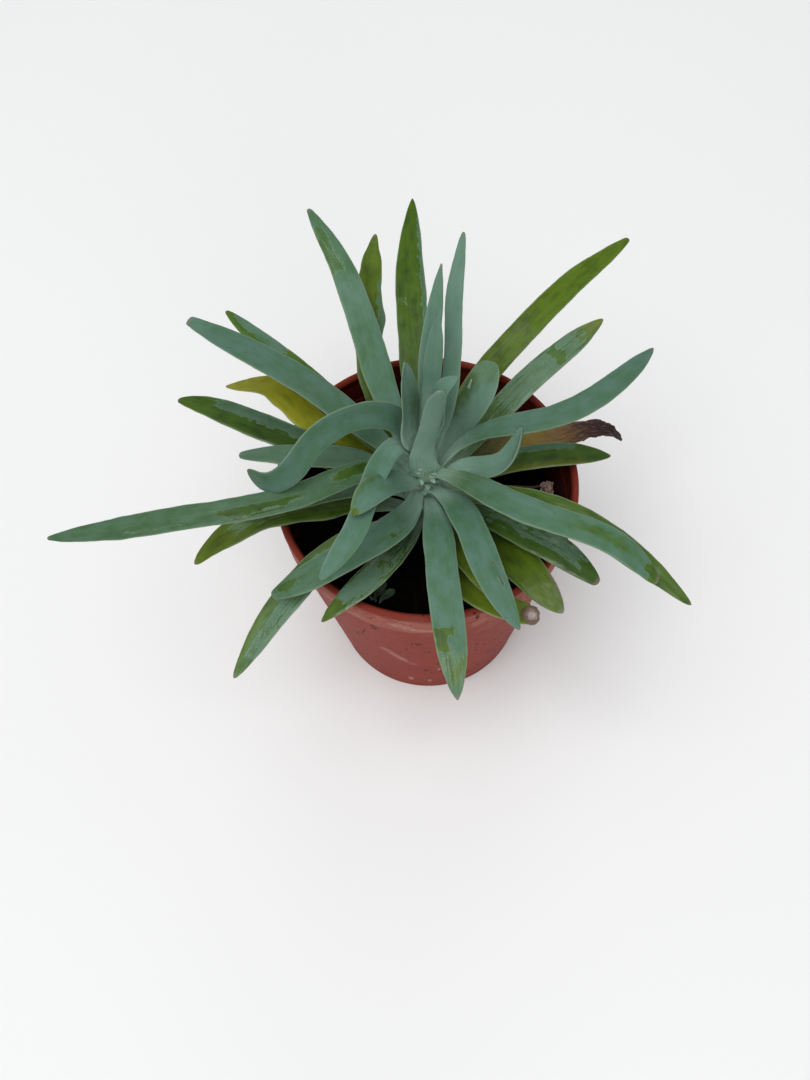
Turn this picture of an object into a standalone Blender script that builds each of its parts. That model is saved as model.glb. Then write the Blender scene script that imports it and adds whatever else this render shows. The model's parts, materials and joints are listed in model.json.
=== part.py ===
"""Potted senecio: a tapered plastic pot, its soil, and one stem with long fleshy leaves.

The z axis is the pot's axis and z = 0 is the surface that the pot stands on.
Lengths here are in millimetres, and become metres where vertices are made.
"""

import math
from collections import namedtuple

import bmesh
import bpy
import numpy as np
from mathutils import Vector, noise

MM = 0.001
GAP = 0.3

# The pot, from its rolled rim down to the foot.
RIM_RADIUS = 55.0
POT_HEIGHT = 110.2
LIP_WIDTH = 2.5
LIP_DROP = 3.2
COLLAR_RADIUS = 54.3
COLLAR_FOOT = 95.6
WALL_TOP_RADIUS = 53.2
BASE_RADIUS = 39.2
WALL = 1.5
FLOOR_TOP = 3.2
FOOT_RECESS = 1.5
FOOT_RING_INNER = 31.0
FOOT_CENTRE_RADIUS = 14.0
DRAIN_HOLES = 6
DRAIN_RADIUS = 3.5
DRAIN_CIRCLE = 22.5
DRAIN_SIDES = 12
POT_SIDES = 48

# The soil: its level at the wall, and how far it rises, tilts and is lumpy.
SOIL_LEVEL = 80.0
SOIL_MOUND = 3.0
SOIL_MOUND_RADIUS = 30.0
SOIL_TILT = 0.05
SOIL_LUMPS = 1.2
SOIL_LUMP_SIZE = 7.0
SOIL_RINGS = (9.0, 15.0, 21.0, 27.0, 33.0, 39.0, 45.0)

# The stem, from its rooted end in the soil up to the crown.
STEM_FOOT = 50.0
STEM_TOP = 125.5
STEM_FOOT_RADIUS = 5.4
STEM_TOP_RADIUS = 4.2
STEM_SCAR_SPACING = 6.0
STEM_SCAR_SWELL = 0.15
STEM_SIDES = 16

# The growing tip, which carries the youngest leaves.
CROWN_FOOT = STEM_TOP + GAP
CROWN_TOP = 149.0
CROWN_TIP_RADIUS = 1.0
CROWN_SIDES = 12
YOUNG_ROOT_DEPTH = 0.55

# One cross section of a leaf: (share of half the width, share of the thickness) from the
# left margin over the hollow upper face to the right margin and back under the keel.
LEAF_SECTION = (
    (-1.0, 0.0),
    (-0.62, 0.36),
    (0.0, 0.22),
    (0.62, 0.36),
    (1.0, 0.0),
    (0.66, -0.42),
    (0.0, -0.64),
    (-0.66, -0.42),
)
LEAF_SEAT = 0.35
LEAF_LEAST_WIDTH = 1.0
LEAF_LEAST_THICKNESS = 0.8
LEAF_TIP_THINNING = 0.35
LEAF_STATION_SPACING = 8.5
LEAF_FEWEST_STATIONS = 10
LEAF_TIP_CROWDING = 1.3

# The leaves, as they stand round the stem. A point of a leaf's path is its heading in
# degrees (0 is +x, 90 the back and 270 the front), its distance from the pot's axis and its
# height. root is the heading and height where the leaf leaves the stem. neck is the share of
# the width there, full the share of the length where the width is reached, taper where it
# starts to narrow, point how bluntly it narrows and end the share of the width at the tip.
Leaf = namedtuple(
    "Leaf",
    "name tone width root path neck full taper point end thick twist",
    defaults=(0.45, 0.4, 0.6, 2.2, 0.0, 2.6, 0),
)
LEAVES = (
    Leaf("leaf_back_tall", "green", 10.8, (92, 103),
         ((94, 29, 118), (93, 65, 131), (92, 105, 142)), taper=0.5),
    Leaf("leaf_back_low", "green", 9.0, (100, 95),
         ((110, 34, 107), (110, 59, 121), (104, 82, 126), (100, 104, 126))),
    Leaf("leaf_back_left", "blue", 11.0, (118, 108),
         ((116, 27, 126), (115, 66, 141), (115, 103, 149))),
    Leaf("leaf_rear_left_low", "green", 9.0, (136, 99),
         ((133, 28, 111), (137, 62, 125), (138, 100, 124)), taper=0.5),
    Leaf("leaf_rear_left", "blue", 12.0, (147, 110),
         ((147, 19, 126), (148, 51, 139), (150, 96, 143))),
    Leaf("leaf_yellow", "yellow", 9.5, (150, 91),
         ((148, 22, 102), (148, 44, 114), (146, 68, 115), (149, 86, 110))),
    Leaf("leaf_left_wet", "green", 9.0, (168, 96),
         ((163, 22, 107), (162, 48, 117), (160, 72, 119), (160, 98, 115))),
    Leaf("leaf_left_short", "grey", 8.5, (171, 104),
         ((165, 22, 113), (172, 42, 119), (175, 67, 120)), point=3.0),
    Leaf("leaf_arched", "blue", 10.0, (146, 121),
         ((157, 12, 143), (177, 25, 152), (191, 41, 152), (197, 50, 145), (193, 61, 140)),
         taper=0.7),
    Leaf("leaf_longest", "blue", 10.0, (192, 112),
         ((194, 20, 128), (203, 46, 136), (199, 79, 136), (195, 113, 130), (194, 132, 125)),
         neck=0.6, full=0.3, taper=0.5, point=1.6),
    Leaf("leaf_under_longest", "grey", 8.0, (195, 101),
         ((190, 20, 112), (195, 42, 119), (195, 67, 118))),
    Leaf("leaf_left_low", "green", 10.5, (206, 92),
         ((192, 25, 103), (196, 47, 112), (198, 69, 112), (200, 87, 106))),
    Leaf("leaf_front_left", "blue", 11.5, (231, 109),
         ((243, 23, 120), (235, 48, 125), (225, 73, 124)), taper=0.7),
    Leaf("leaf_front_left_low", "green", 10.0, (224, 98),
         ((237, 21, 109), (225, 40, 115), (226, 69, 117), (229, 99, 110))),
    Leaf("leaf_drooping", "blue", 8.5, (203, 122),
         ((200, 10, 139), (227, 27, 147), (238, 47, 147), (238, 64, 142)),
         neck=0.6, taper=0.7),
    Leaf("leaf_short_bent", "teal", 10.0, (214, 116),
         ((228, 15, 129), (230, 27, 137), (232, 40, 140)), neck=0.6),
    Leaf("leaf_front_left_small", "green", 10.0, (246, 94),
         ((249, 19, 104), (245, 43, 114), (240, 57, 115), (237, 66, 112))),
    Leaf("leaf_front", "blue", 12.5, (277, 106),
         ((279, 21, 118), (277, 47, 124), (277, 67, 121), (276, 86, 116)),
         neck=0.4, full=0.55, taper=0.72),
    Leaf("leaf_front_right", "blue", 11.5, (300, 111),
         ((295, 22, 124), (293, 42, 130), (294, 59, 129), (294, 71, 125)), taper=0.7),
    Leaf("leaf_front_right_low", "green", 8.0, (302, 99),
         ((293, 21, 109), (291, 36, 116), (294, 55, 117))),
    Leaf("leaf_callus_tip", "green", 9.5, (283, 92),
         ((286, 24, 103), (288, 46, 111), (302, 65, 112)), taper=0.85, point=4.0, end=0.55),
    Leaf("leaf_right_broad", "green", 12.0, (327, 91),
         ((315, 19, 100), (310, 45, 111), (309, 70, 112)), taper=0.7),
    Leaf("leaf_right_wet", "grey", 9.5, (336, 101),
         ((318, 24, 113), (319, 48, 120), (322, 72, 117)), taper=0.7),
    Leaf("leaf_right_long", "blue", 10.5, (320, 120),
         ((309, 20, 134), (316, 50, 144), (324, 72, 139), (326, 90, 128)), taper=0.7),
    Leaf("leaf_right_long_low", "green", 9.0, (352, 105),
         ((336, 19, 116), (335, 50, 124), (332, 77, 124), (328, 103, 118))),
    Leaf("leaf_right_green", "green", 9.0, (4, 97),
         ((14, 17, 107), (6, 41, 117), (5, 67, 113)), taper=0.7),
    Leaf("leaf_withered", "withered", 9.0, (22, 91),
         ((32, 20, 103), (16, 50, 114), (15, 66, 116), (13, 74, 109)),
         taper=0.5, point=1.3, end=0.25),
    Leaf("leaf_cupped", "blue", 10.0, (350, 114),
         ((336, 14, 126), (343, 26, 134), (2, 33, 139)), taper=0.7),
    Leaf("leaf_rear_right", "blue", 11.0, (12, 118),
         ((9, 18, 135), (3, 41, 147), (8, 60, 151), (19, 82, 150))),
    Leaf("leaf_spoon", "teal", 12.0, (50, 112),
         ((49, 15, 129), (43, 22, 142), (49, 31, 149)), neck=0.42, taper=0.78, point=3.0),
    Leaf("leaf_back_right_long", "green", 11.0, (60, 97),
         ((61, 33, 111), (53, 59, 126), (51, 87, 133), (49, 119, 134))),
    Leaf("leaf_back_right", "grey", 10.0, (38, 101),
         ((43, 28, 116), (40, 52, 127), (40, 86, 130))),
    Leaf("leaf_crown_right", "blue", 5.5, (70, 120),
         ((62, 15, 149), (73, 36, 168), (76, 56, 178)), neck=0.7, thick=2.2),
)
YOUNG_LEAVES = (
    Leaf("young_back", "pale", 6.2, (95, 133),
         ((87, 12, 158), (82, 24, 175), (80, 35, 186)), neck=0.6, thick=2.2),
    Leaf("young_back_inner", "pale", 5.8, (75, 138),
         ((76, 11, 160), (76, 19, 180)), neck=0.6, thick=2.0),
    Leaf("young_left", "pale", 5.6, (175, 136),
         ((162, 6, 155), (146, 8, 175)), neck=0.8, thick=1.8, twist=35),
    Leaf("young_front", "pale", 6.4, (275, 129),
         ((280, 4, 148), (320, 4, 160), (322, 5.5, 171)), neck=0.9, taper=0.75, point=3.0, thick=2.2),
    Leaf("young_right", "pale", 7.0, (40, 135),
         ((35, 5, 150), (39, 7, 160), (30, 12.6, 164)), neck=0.7, thick=1.8),
)

# What lies and grows on the soil, at a heading and a distance from the axis.
SEEDLING_SPOT = (242, 35)
SEEDLING_HEIGHT = 3.0
SEEDLING_STALK_RADIUS = 0.5
SEEDLING_LEAVES = 5
SEEDLING_LEAF = (3.6, 1.9, 0.8)
SEEDLING_LEAF_REACH = 1.3
CRUMB_SPOT = (15, 43)
CRUMB_RADIUS = 1.9
CRUMB_LUMPS = 0.25
CRUMB_FLATNESS = 0.75

# Colour (linear) and roughness of each material. None of them is metallic.
FINISHES = {
    "pot_plastic": ((0.27, 0.055, 0.035), 0.5),
    "soil": ((0.012, 0.008, 0.006), 0.9),
    "stem_bark": ((0.36, 0.31, 0.22), 0.7),
    "green": ((0.07, 0.16, 0.02), 0.35),
    "blue": ((0.11, 0.24, 0.18), 0.5),
    "teal": ((0.12, 0.27, 0.24), 0.5),
    "grey": ((0.08, 0.16, 0.1), 0.45),
    "yellow": ((0.22, 0.19, 0.02), 0.45),
    "withered": ((0.2, 0.11, 0.03), 0.7),
    "pale": ((0.19, 0.33, 0.25), 0.55),
    "seedling": ((0.03, 0.07, 0.02), 0.5),
    "crumb": ((0.45, 0.28, 0.2), 0.85),
}


def clear_scene():
    for obj in list(bpy.data.objects):
        bpy.data.objects.remove(obj, do_unlink=True)


def new_collection(name, hidden=False):
    collection = bpy.data.collections.new(name)
    collection.hide_render = hidden
    bpy.context.scene.collection.children.link(collection)
    return collection


def finish(name):
    """The named material, made once."""
    if name in bpy.data.materials:
        return bpy.data.materials[name]
    colour, roughness = FINISHES[name]
    material = bpy.data.materials.new(name)
    material.use_nodes = True
    shader = material.node_tree.nodes["Principled BSDF"]
    shader.inputs["Base Color"].default_value = (*colour, 1.0)
    shader.inputs["Roughness"].default_value = roughness
    shader.inputs["Metallic"].default_value = 0.0
    return material


def mesh_object(name, mesh, collection, material):
    obj = bpy.data.objects.new(name, mesh)
    collection.objects.link(obj)
    mesh.materials.clear()
    mesh.materials.append(finish(material))
    return obj


def move_to(obj, collection):
    for owner in list(obj.users_collection):
        owner.objects.unlink(obj)
    collection.objects.link(obj)


def make_cutter(obj):
    obj.hide_render = True
    obj.display_type = "WIRE"


def turned(name, profile, sides, collection, material):
    """A solid of revolution from (radius, height) pairs that run down its outer side."""
    mesh = bpy.data.meshes.new(name)
    points = [(radius * MM, 0.0, height * MM) for radius, height in profile]
    mesh.from_pydata(points, [(i, i + 1) for i in range(len(points) - 1)], [])
    obj = mesh_object(name, mesh, collection, material)
    screw = obj.modifiers.new("Turn", "SCREW")
    screw.steps = sides
    screw.render_steps = sides
    screw.use_merge_vertices = True
    screw.merge_threshold = 0.00001
    return obj


def bake(obj):
    """Replaces the object's mesh with its evaluated one and drops its modifiers."""
    graph = bpy.context.evaluated_depsgraph_get()
    mesh = bpy.data.meshes.new_from_object(obj.evaluated_get(graph))
    obj.modifiers.clear()
    obj.data = mesh


def join_collection(obj, collection):
    """One body from the object and every object of the collection, which is then removed."""
    join = obj.modifiers.new("Join", "BOOLEAN")
    join.operand_type = "COLLECTION"
    join.collection = collection
    join.operation = "UNION"
    bake(obj)
    for piece in list(collection.objects):
        bpy.data.objects.remove(piece, do_unlink=True)
    bpy.data.collections.remove(collection)


def polar(heading, reach, height):
    angle = math.radians(heading)
    return np.array((reach * math.cos(angle), reach * math.sin(angle), height))


def inner_wall_radius(height):
    """Radius of the pot's inside between the floor and the collar."""
    share = (height - FLOOR_TOP) / (COLLAR_FOOT - FLOOR_TOP)
    floor_radius = BASE_RADIUS - WALL
    return floor_radius + share * (WALL_TOP_RADIUS - WALL - floor_radius)


def pot_profile():
    """The inside from the floor up, over the rim, down the outside and under the foot."""
    lip_inner = RIM_RADIUS - LIP_WIDTH
    lip_foot = POT_HEIGHT - LIP_DROP
    inside = [
        (0.0, FLOOR_TOP),
        (BASE_RADIUS - WALL - 1.5, FLOOR_TOP),
        (BASE_RADIUS - WALL - 0.3, FLOOR_TOP + 0.6),
        (inner_wall_radius(FLOOR_TOP + 2.0), FLOOR_TOP + 2.0),
        (WALL_TOP_RADIUS - WALL, COLLAR_FOOT),
        (lip_inner, COLLAR_FOOT + 0.9),
        (lip_inner + 0.1, lip_foot - 0.3),
        (lip_inner - 0.2, lip_foot + 0.6),
        (lip_inner + 0.1, POT_HEIGHT - 0.7),
        (lip_inner + 0.7, POT_HEIGHT - 0.1),
    ]
    outside = [
        (RIM_RADIUS - 1.2, POT_HEIGHT),
        (RIM_RADIUS - 0.4, POT_HEIGHT - 0.3),
        (RIM_RADIUS, POT_HEIGHT - 1.1),
        (RIM_RADIUS, POT_HEIGHT - 2.2),
        (RIM_RADIUS - 0.35, lip_foot + 0.2),
        (COLLAR_RADIUS, lip_foot - 0.3),
        (COLLAR_RADIUS - 0.1, COLLAR_FOOT + 1.0),
        (COLLAR_RADIUS - 0.4, COLLAR_FOOT + 0.2),
        (WALL_TOP_RADIUS, COLLAR_FOOT - 0.4),
        (BASE_RADIUS, 2.2),
        (BASE_RADIUS - 0.3, 0.7),
        (BASE_RADIUS - 1.0, 0.0),
    ]
    underside = [
        (FOOT_RING_INNER, 0.0),
        (FOOT_RING_INNER - 0.8, FOOT_RECESS),
        (FOOT_CENTRE_RADIUS + 0.8, FOOT_RECESS),
        (FOOT_CENTRE_RADIUS, 0.0),
        (0.0, 0.0),
    ]
    return inside + outside + underside


def make_pot(part, cutters):
    """The pot, with a ring of drain holes between the foot ring and the flat centre."""
    pot = turned("pot", pot_profile(), POT_SIDES, part, "pot_plastic")
    drains = bpy.data.collections.new("drain_holes")
    cutters.children.link(drains)
    for i in range(DRAIN_HOLES):
        place = polar(360 * i / DRAIN_HOLES, DRAIN_CIRCLE, 0.0)
        bpy.ops.mesh.primitive_cylinder_add(
            vertices=DRAIN_SIDES, radius=DRAIN_RADIUS * MM, depth=4 * FLOOR_TOP * MM, location=place * MM
        )
        hole = bpy.context.object
        hole.name = f"drain_cutter_{i + 1}"
        make_cutter(hole)
        move_to(hole, drains)
    cut = pot.modifiers.new("Drain holes", "BOOLEAN")
    cut.operand_type = "COLLECTION"
    cut.collection = drains
    cut.operation = "DIFFERENCE"


def soil_top(x, y):
    """Height of the soil's surface at a place."""
    mound = SOIL_MOUND * max(0.0, 1 - math.hypot(x, y) / SOIL_MOUND_RADIUS)
    lump = SOIL_LUMPS * noise.noise(Vector((x, y, 0.0)) / SOIL_LUMP_SIZE)
    return SOIL_LEVEL + mound + SOIL_TILT * x + lump


def stem_radius(height):
    """Radius of the stem, and of the growing tip above it, without the leaf scars."""
    if height <= STEM_TOP:
        share = (height - STEM_FOOT) / (STEM_TOP - STEM_FOOT)
        return STEM_FOOT_RADIUS + share * (STEM_TOP_RADIUS - STEM_FOOT_RADIUS)
    share = (height - STEM_TOP) / (CROWN_TOP - STEM_TOP)
    return STEM_TOP_RADIUS + share * (CROWN_TIP_RADIUS - STEM_TOP_RADIUS)


def stem_profile(extra):
    """The stem from its top down, with a low swelling at each ring of leaf scars."""
    profile = [(0.0, STEM_TOP), (STEM_TOP_RADIUS + extra - 0.5, STEM_TOP)]
    rings = int((STEM_TOP - STEM_FOOT) / STEM_SCAR_SPACING)
    for i in range(rings):
        height = STEM_TOP - 1.0 - i * STEM_SCAR_SPACING
        radius = stem_radius(height) + extra
        profile.append((radius, height))
        profile.append((radius + STEM_SCAR_SWELL, height - STEM_SCAR_SPACING / 2))
    profile.append((0.4 * STEM_FOOT_RADIUS + extra, STEM_FOOT - extra))
    profile.append((0.0, STEM_FOOT - extra))
    return profile


def make_stem(part):
    turned("stem", stem_profile(0.0), STEM_SIDES, part, "stem_bark")


def make_soil(part, cutters):
    """The soil fills the pot up to its lumpy top and has a plain hole for the stem."""
    edge = inner_wall_radius(SOIL_LEVEL) - GAP
    foot = inner_wall_radius(FLOOR_TOP + 2.0) - GAP
    profile = [(0.0, SOIL_LEVEL)]
    profile += [(radius, SOIL_LEVEL) for radius in SOIL_RINGS]
    profile += [(edge, SOIL_LEVEL), (foot, FLOOR_TOP + 2.0)]
    profile += [(foot - 2.0, FLOOR_TOP + GAP), (0.0, FLOOR_TOP + GAP)]
    soil = turned("soil", profile, POT_SIDES, part, "soil")
    bake(soil)
    for vertex in soil.data.vertices:
        if vertex.co.z < (SOIL_LEVEL - 1.0) * MM:
            continue
        x, y = vertex.co.x / MM, vertex.co.y / MM
        height = soil_top(x, y)
        reach = math.hypot(x, y)
        flare = (inner_wall_radius(height) - GAP) / reach if reach > edge - 1.0 else 1.0
        vertex.co = Vector((x * flare, y * flare, height)) * MM
    hole = turned("stem_hole_cutter", stem_profile(GAP), STEM_SIDES, cutters, "soil")
    make_cutter(hole)
    cut = soil.modifiers.new("Stem hole", "BOOLEAN")
    cut.object = hole
    cut.operation = "DIFFERENCE"


def spline(points, shares):
    """Points at the given shares of the length of a natural cubic spline."""
    points = np.array(points)
    last = len(points) - 1
    chords = np.linalg.norm(np.diff(points, axis=0), axis=1)
    knots = np.concatenate(([0.0], np.cumsum(np.sqrt(chords))))
    steps = np.diff(knots)
    slopes = np.diff(points, axis=0) / steps[:, None]
    system = np.eye(last + 1)
    target = np.zeros((last + 1, 3))
    for i in range(1, last):
        system[i, i - 1 : i + 2] = steps[i - 1], 2 * (steps[i - 1] + steps[i]), steps[i]
        target[i] = 6 * (slopes[i] - slopes[i - 1])
    bends = np.linalg.solve(system, target)
    fine = []
    for knot in np.linspace(0.0, knots[-1], 200):
        i = min(int(np.searchsorted(knots, knot, side="right")) - 1, last - 1)
        before = (knots[i + 1] - knot) / steps[i]
        after = (knot - knots[i]) / steps[i]
        curve = (before**3 - before) * bends[i] + (after**3 - after) * bends[i + 1]
        fine.append(before * points[i] + after * points[i + 1] + curve * steps[i] ** 2 / 6)
    fine = np.array(fine)
    run = np.concatenate(([0.0], np.cumsum(np.linalg.norm(np.diff(fine, axis=0), axis=1))))
    return np.stack([np.interp(shares * run[-1], run, fine[:, k]) for k in range(3)], axis=1)


def width_share(leaf, t):
    """Share of the leaf's full width at share t of its length."""
    share = 1.0
    if t < leaf.full:
        ease = t / leaf.full
        share = leaf.neck + (1 - leaf.neck) * ease * ease * (3 - 2 * ease)
    if t > leaf.taper:
        narrowing = max(1 - ((t - leaf.taper) / (1 - leaf.taper)) ** leaf.point, 0.0)
        share *= leaf.end + (1 - leaf.end) * narrowing**0.75
    return share


def leaf_rings(leaf, root_reach):
    """The cross sections of a leaf from its root to its tip, each a list of points.

    The first one stands upright, along the stem. The rest turn with the leaf's path.
    """
    heading, root_height = leaf.root
    points = [polar(heading, root_reach, root_height)] + [polar(*point) for point in leaf.path]
    chord = sum(np.linalg.norm(b - a) for a, b in zip(points, points[1:]))
    count = max(LEAF_FEWEST_STATIONS, round(chord / LEAF_STATION_SPACING) + 1)
    shares = 1 - (1 - np.linspace(0.0, 1.0, count)) ** LEAF_TIP_CROWDING
    path = spline(points, shares)
    ahead = np.gradient(path, axis=0)
    ahead[0] = polar(heading, 1.0, 0.0)
    ahead /= np.linalg.norm(ahead, axis=1)[:, None]
    side = polar(heading - 90, 1.0, 0.0)
    rings = []
    for place, forward, t in zip(path, ahead, shares):
        side = side - forward * side.dot(forward)
        side /= np.linalg.norm(side)
        face = np.cross(side, forward)
        turn = math.radians(leaf.twist * t)
        across = math.cos(turn) * side + math.sin(turn) * face
        up = math.cos(turn) * face - math.sin(turn) * side
        share = width_share(leaf, t)
        half = max(leaf.width * share, LEAF_LEAST_WIDTH) / 2
        thick = leaf.thick * (1 - LEAF_TIP_THINNING * t) * min(1.0, 1.05 * math.sqrt(share))
        thick = max(thick, LEAF_LEAST_THICKNESS)
        rings.append([place + across * a * half + up * b * thick for a, b in LEAF_SECTION])
    return rings


def leaf_mesh(leaf, root_reach):
    """A loft through the leaf's cross sections, closed at both ends."""
    shape = bmesh.new()
    loops = [[shape.verts.new(point * MM) for point in ring] for ring in leaf_rings(leaf, root_reach)]
    sides = len(LEAF_SECTION)
    for near, far in zip(loops, loops[1:]):
        for k in range(sides):
            following = (k + 1) % sides
            shape.faces.new((near[k], near[following], far[following]))
            shape.faces.new((near[k], far[following], far[k]))
    shape.faces.new(reversed(loops[0]))
    shape.faces.new(loops[-1])
    mesh = bpy.data.meshes.new(leaf.name)
    shape.to_mesh(mesh)
    shape.free()
    mesh.shade_smooth()
    return mesh


def make_leaf(leaf, part):
    """One large leaf, whose root rests against the stem's leaf scars."""
    seat = stem_radius(leaf.root[1]) + STEM_SCAR_SWELL + LEAF_SEAT
    mesh_object(leaf.name, leaf_mesh(leaf, seat), part, leaf.tone)


def make_crown(part):
    """The growing tip and the youngest leaves, whose roots are sunk in it, as one body."""
    profile = [
        (0.0, CROWN_TOP),
        (CROWN_TIP_RADIUS, CROWN_TOP - 0.5),
        (STEM_TOP_RADIUS - 0.2, CROWN_FOOT + 2.0),
        (STEM_TOP_RADIUS - 0.7, CROWN_FOOT),
        (0.0, CROWN_FOOT),
    ]
    crown = turned("crown", profile, CROWN_SIDES, part, "pale")
    bake(crown)
    young = bpy.data.collections.new("young_leaves")
    for leaf in YOUNG_LEAVES:
        reach = (1 - YOUNG_ROOT_DEPTH) * stem_radius(leaf.root[1])
        mesh_object(leaf.name, leaf_mesh(leaf, reach), young, leaf.tone)
    join_collection(crown, young)


def seedling_leaf(i, foot, collection):
    """One rounded leaf of the seedling, with its inner end sunk in the stalk."""
    heading = 360 * i / SEEDLING_LEAVES
    reach = polar(heading, SEEDLING_LEAF_REACH, SEEDLING_HEIGHT * (0.72 + 0.05 * i))
    shape = bmesh.new()
    bmesh.ops.create_uvsphere(shape, u_segments=8, v_segments=4, radius=0.5)
    bmesh.ops.scale(shape, vec=SEEDLING_LEAF, verts=shape.verts)
    for vertex in shape.verts:
        x, y, z = vertex.co
        turned_place = polar(heading, x, z) + polar(heading + 90, y, 0.0)
        vertex.co = Vector(turned_place + reach + foot) * MM
    mesh = bpy.data.meshes.new(f"seedling_leaf_{i + 1}")
    shape.to_mesh(mesh)
    shape.free()
    mesh_object(mesh.name, mesh, collection, "seedling")


def make_seedling(part):
    """A tiny weed: a stalk and a few rounded leaves, joined in one body."""
    x, y, _ = polar(*SEEDLING_SPOT, 0.0)
    foot = np.array((x, y, soil_top(x, y) + GAP))
    radius = SEEDLING_STALK_RADIUS
    profile = [(0.0, SEEDLING_HEIGHT), (0.7 * radius, SEEDLING_HEIGHT), (radius, 0.1), (0.0, 0.1)]
    seedling = turned("seedling", profile, 6, part, "seedling")
    bake(seedling)
    for vertex in seedling.data.vertices:
        vertex.co += Vector(foot) * MM
    leaves = bpy.data.collections.new("seedling_leaves")
    for i in range(SEEDLING_LEAVES):
        seedling_leaf(i, foot, leaves)
    join_collection(seedling, leaves)


def make_crumb(part):
    """A pale lump of dry root on the soil near the wall."""
    x, y, _ = polar(*CRUMB_SPOT, 0.0)
    lump = bmesh.new()
    bmesh.ops.create_icosphere(lump, subdivisions=2, radius=CRUMB_RADIUS)
    for vertex in lump.verts:
        vertex.co *= 1 + CRUMB_LUMPS * noise.noise(vertex.co)
        vertex.co.z *= CRUMB_FLATNESS
    under = min(vertex.co.z for vertex in lump.verts)
    ground = max(soil_top(x + a, y + b) for a in (-1, 0, 1) for b in (-1, 0, 1))
    for vertex in lump.verts:
        vertex.co = (vertex.co + Vector((x, y, ground + GAP - under))) * MM
    mesh = bpy.data.meshes.new("crumb")
    lump.to_mesh(mesh)
    lump.free()
    mesh.shade_smooth()
    mesh_object("crumb", mesh, part, "crumb")


def main():
    clear_scene()
    part = new_collection("potted_senecio")
    cutters = new_collection("cutters", hidden=True)
    make_pot(part, cutters)
    make_soil(part, cutters)
    make_stem(part)
    for leaf in LEAVES:
        make_leaf(leaf, part)
    make_crown(part)
    make_seedling(part)
    make_crumb(part)


main()
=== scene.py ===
# %% [markdown]
# # A potted senecio
#
# A young blue-leaved succulent stands in a round plastic nursery pot. Thirty-three long fleshy
# leaves spread from one thick stem, some still covered in pale wax and some rubbed or rained
# bare, down to the green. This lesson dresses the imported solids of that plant: each cell makes
# one piece or one finish, and the cell of text before it says what the real one is like.
#
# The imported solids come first, because every piece below is built round them. They are in
# metres, and so is the scene; lengths in the tables below are in millimetres.

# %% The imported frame
import json
import math
from collections import namedtuple

import bmesh
import bpy
import numpy as np
from mathutils import Matrix, Vector, noise


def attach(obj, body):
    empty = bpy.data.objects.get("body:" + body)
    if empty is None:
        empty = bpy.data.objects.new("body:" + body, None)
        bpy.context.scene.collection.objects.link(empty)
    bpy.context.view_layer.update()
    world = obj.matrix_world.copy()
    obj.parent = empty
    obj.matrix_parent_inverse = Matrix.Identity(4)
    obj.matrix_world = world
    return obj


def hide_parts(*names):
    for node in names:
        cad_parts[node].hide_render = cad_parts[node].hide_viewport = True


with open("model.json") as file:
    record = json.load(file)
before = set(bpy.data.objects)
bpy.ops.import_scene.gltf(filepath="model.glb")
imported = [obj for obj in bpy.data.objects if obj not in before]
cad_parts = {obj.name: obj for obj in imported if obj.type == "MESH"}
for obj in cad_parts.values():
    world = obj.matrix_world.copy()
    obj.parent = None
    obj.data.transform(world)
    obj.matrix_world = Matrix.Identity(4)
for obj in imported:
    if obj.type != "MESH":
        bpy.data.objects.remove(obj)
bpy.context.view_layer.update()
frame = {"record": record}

MM = 0.001
BODY = "root"

# %% [markdown]
# ## The camera
#
# The photograph looks steeply down on the plant, a little from the front. The camera's height,
# tilt and focal length were worked out from the pot: its rim is a circle whose outline in the
# picture gives the tilt, and the foot below it gives the distance. A camera's matrix is just
# its right, up and backward directions, so it is built from those, which also takes in the
# slight roll of a hand-held shot.

# %% Camera
PHOTO_HEIGHT = 1080.0
FOCAL_PIXELS = 1100.0
SENSOR = 36.0
CAMERA_PLACE = Vector((0.0, -0.2015, 0.4534))
CAMERA_PITCH = math.radians(62.68)
CAMERA_YAW = math.radians(-2.54)
CAMERA_ROLL = math.radians(-3.22)


def make_camera():
    ahead = Vector((
        math.sin(CAMERA_YAW) * math.cos(CAMERA_PITCH),
        math.cos(CAMERA_YAW) * math.cos(CAMERA_PITCH),
        -math.sin(CAMERA_PITCH),
    ))
    level = Vector((math.cos(CAMERA_YAW), -math.sin(CAMERA_YAW), 0.0))
    above = level.cross(ahead)
    right = math.cos(CAMERA_ROLL) * level + math.sin(CAMERA_ROLL) * above
    up = math.cos(CAMERA_ROLL) * above - math.sin(CAMERA_ROLL) * level
    data = bpy.data.cameras.new("camera")
    data.sensor_width = SENSOR
    data.lens = SENSOR * FOCAL_PIXELS / PHOTO_HEIGHT
    camera = bpy.data.objects.new("camera", data)
    facing = Matrix((right, up, -ahead)).transposed().to_4x4()
    camera.matrix_world = Matrix.Translation(CAMERA_PLACE) @ facing
    bpy.context.scene.collection.objects.link(camera)
    bpy.context.scene.camera = camera
    return camera


camera = make_camera()
print("camera lens:", round(camera.data.lens, 2), "mm")

# %% [markdown]
# ## Light
#
# The plant was photographed in soft daylight, with no hard shadow anywhere. One very large lamp
# overhead does most of the work, and a pale world fills the shade. A low lamp in front keeps the
# pot's wall from going black, and one behind gives the far leaves an edge. The lamps are wide, so
# that a wet leaf reflects a broad soft patch.

# %% Lamps and world
LAMP_TARGET = Vector((0.0, 0.0, 0.1))
WORLD_COLOUR = (0.96, 0.98, 1.0, 1.0)
WORLD_STRENGTH = 0.46
Lamp = namedtuple("Lamp", "name place size power")
LAMPS = (
    Lamp("overhead lamp", (-0.4, -0.6, 2.3), 1.9, 37.0),
    Lamp("front lamp", (0.5, -1.9, 1.0), 1.3, 4.0),
    Lamp("back lamp", (0.3, 2.2, 1.2), 1.3, 5.0),
)


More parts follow.
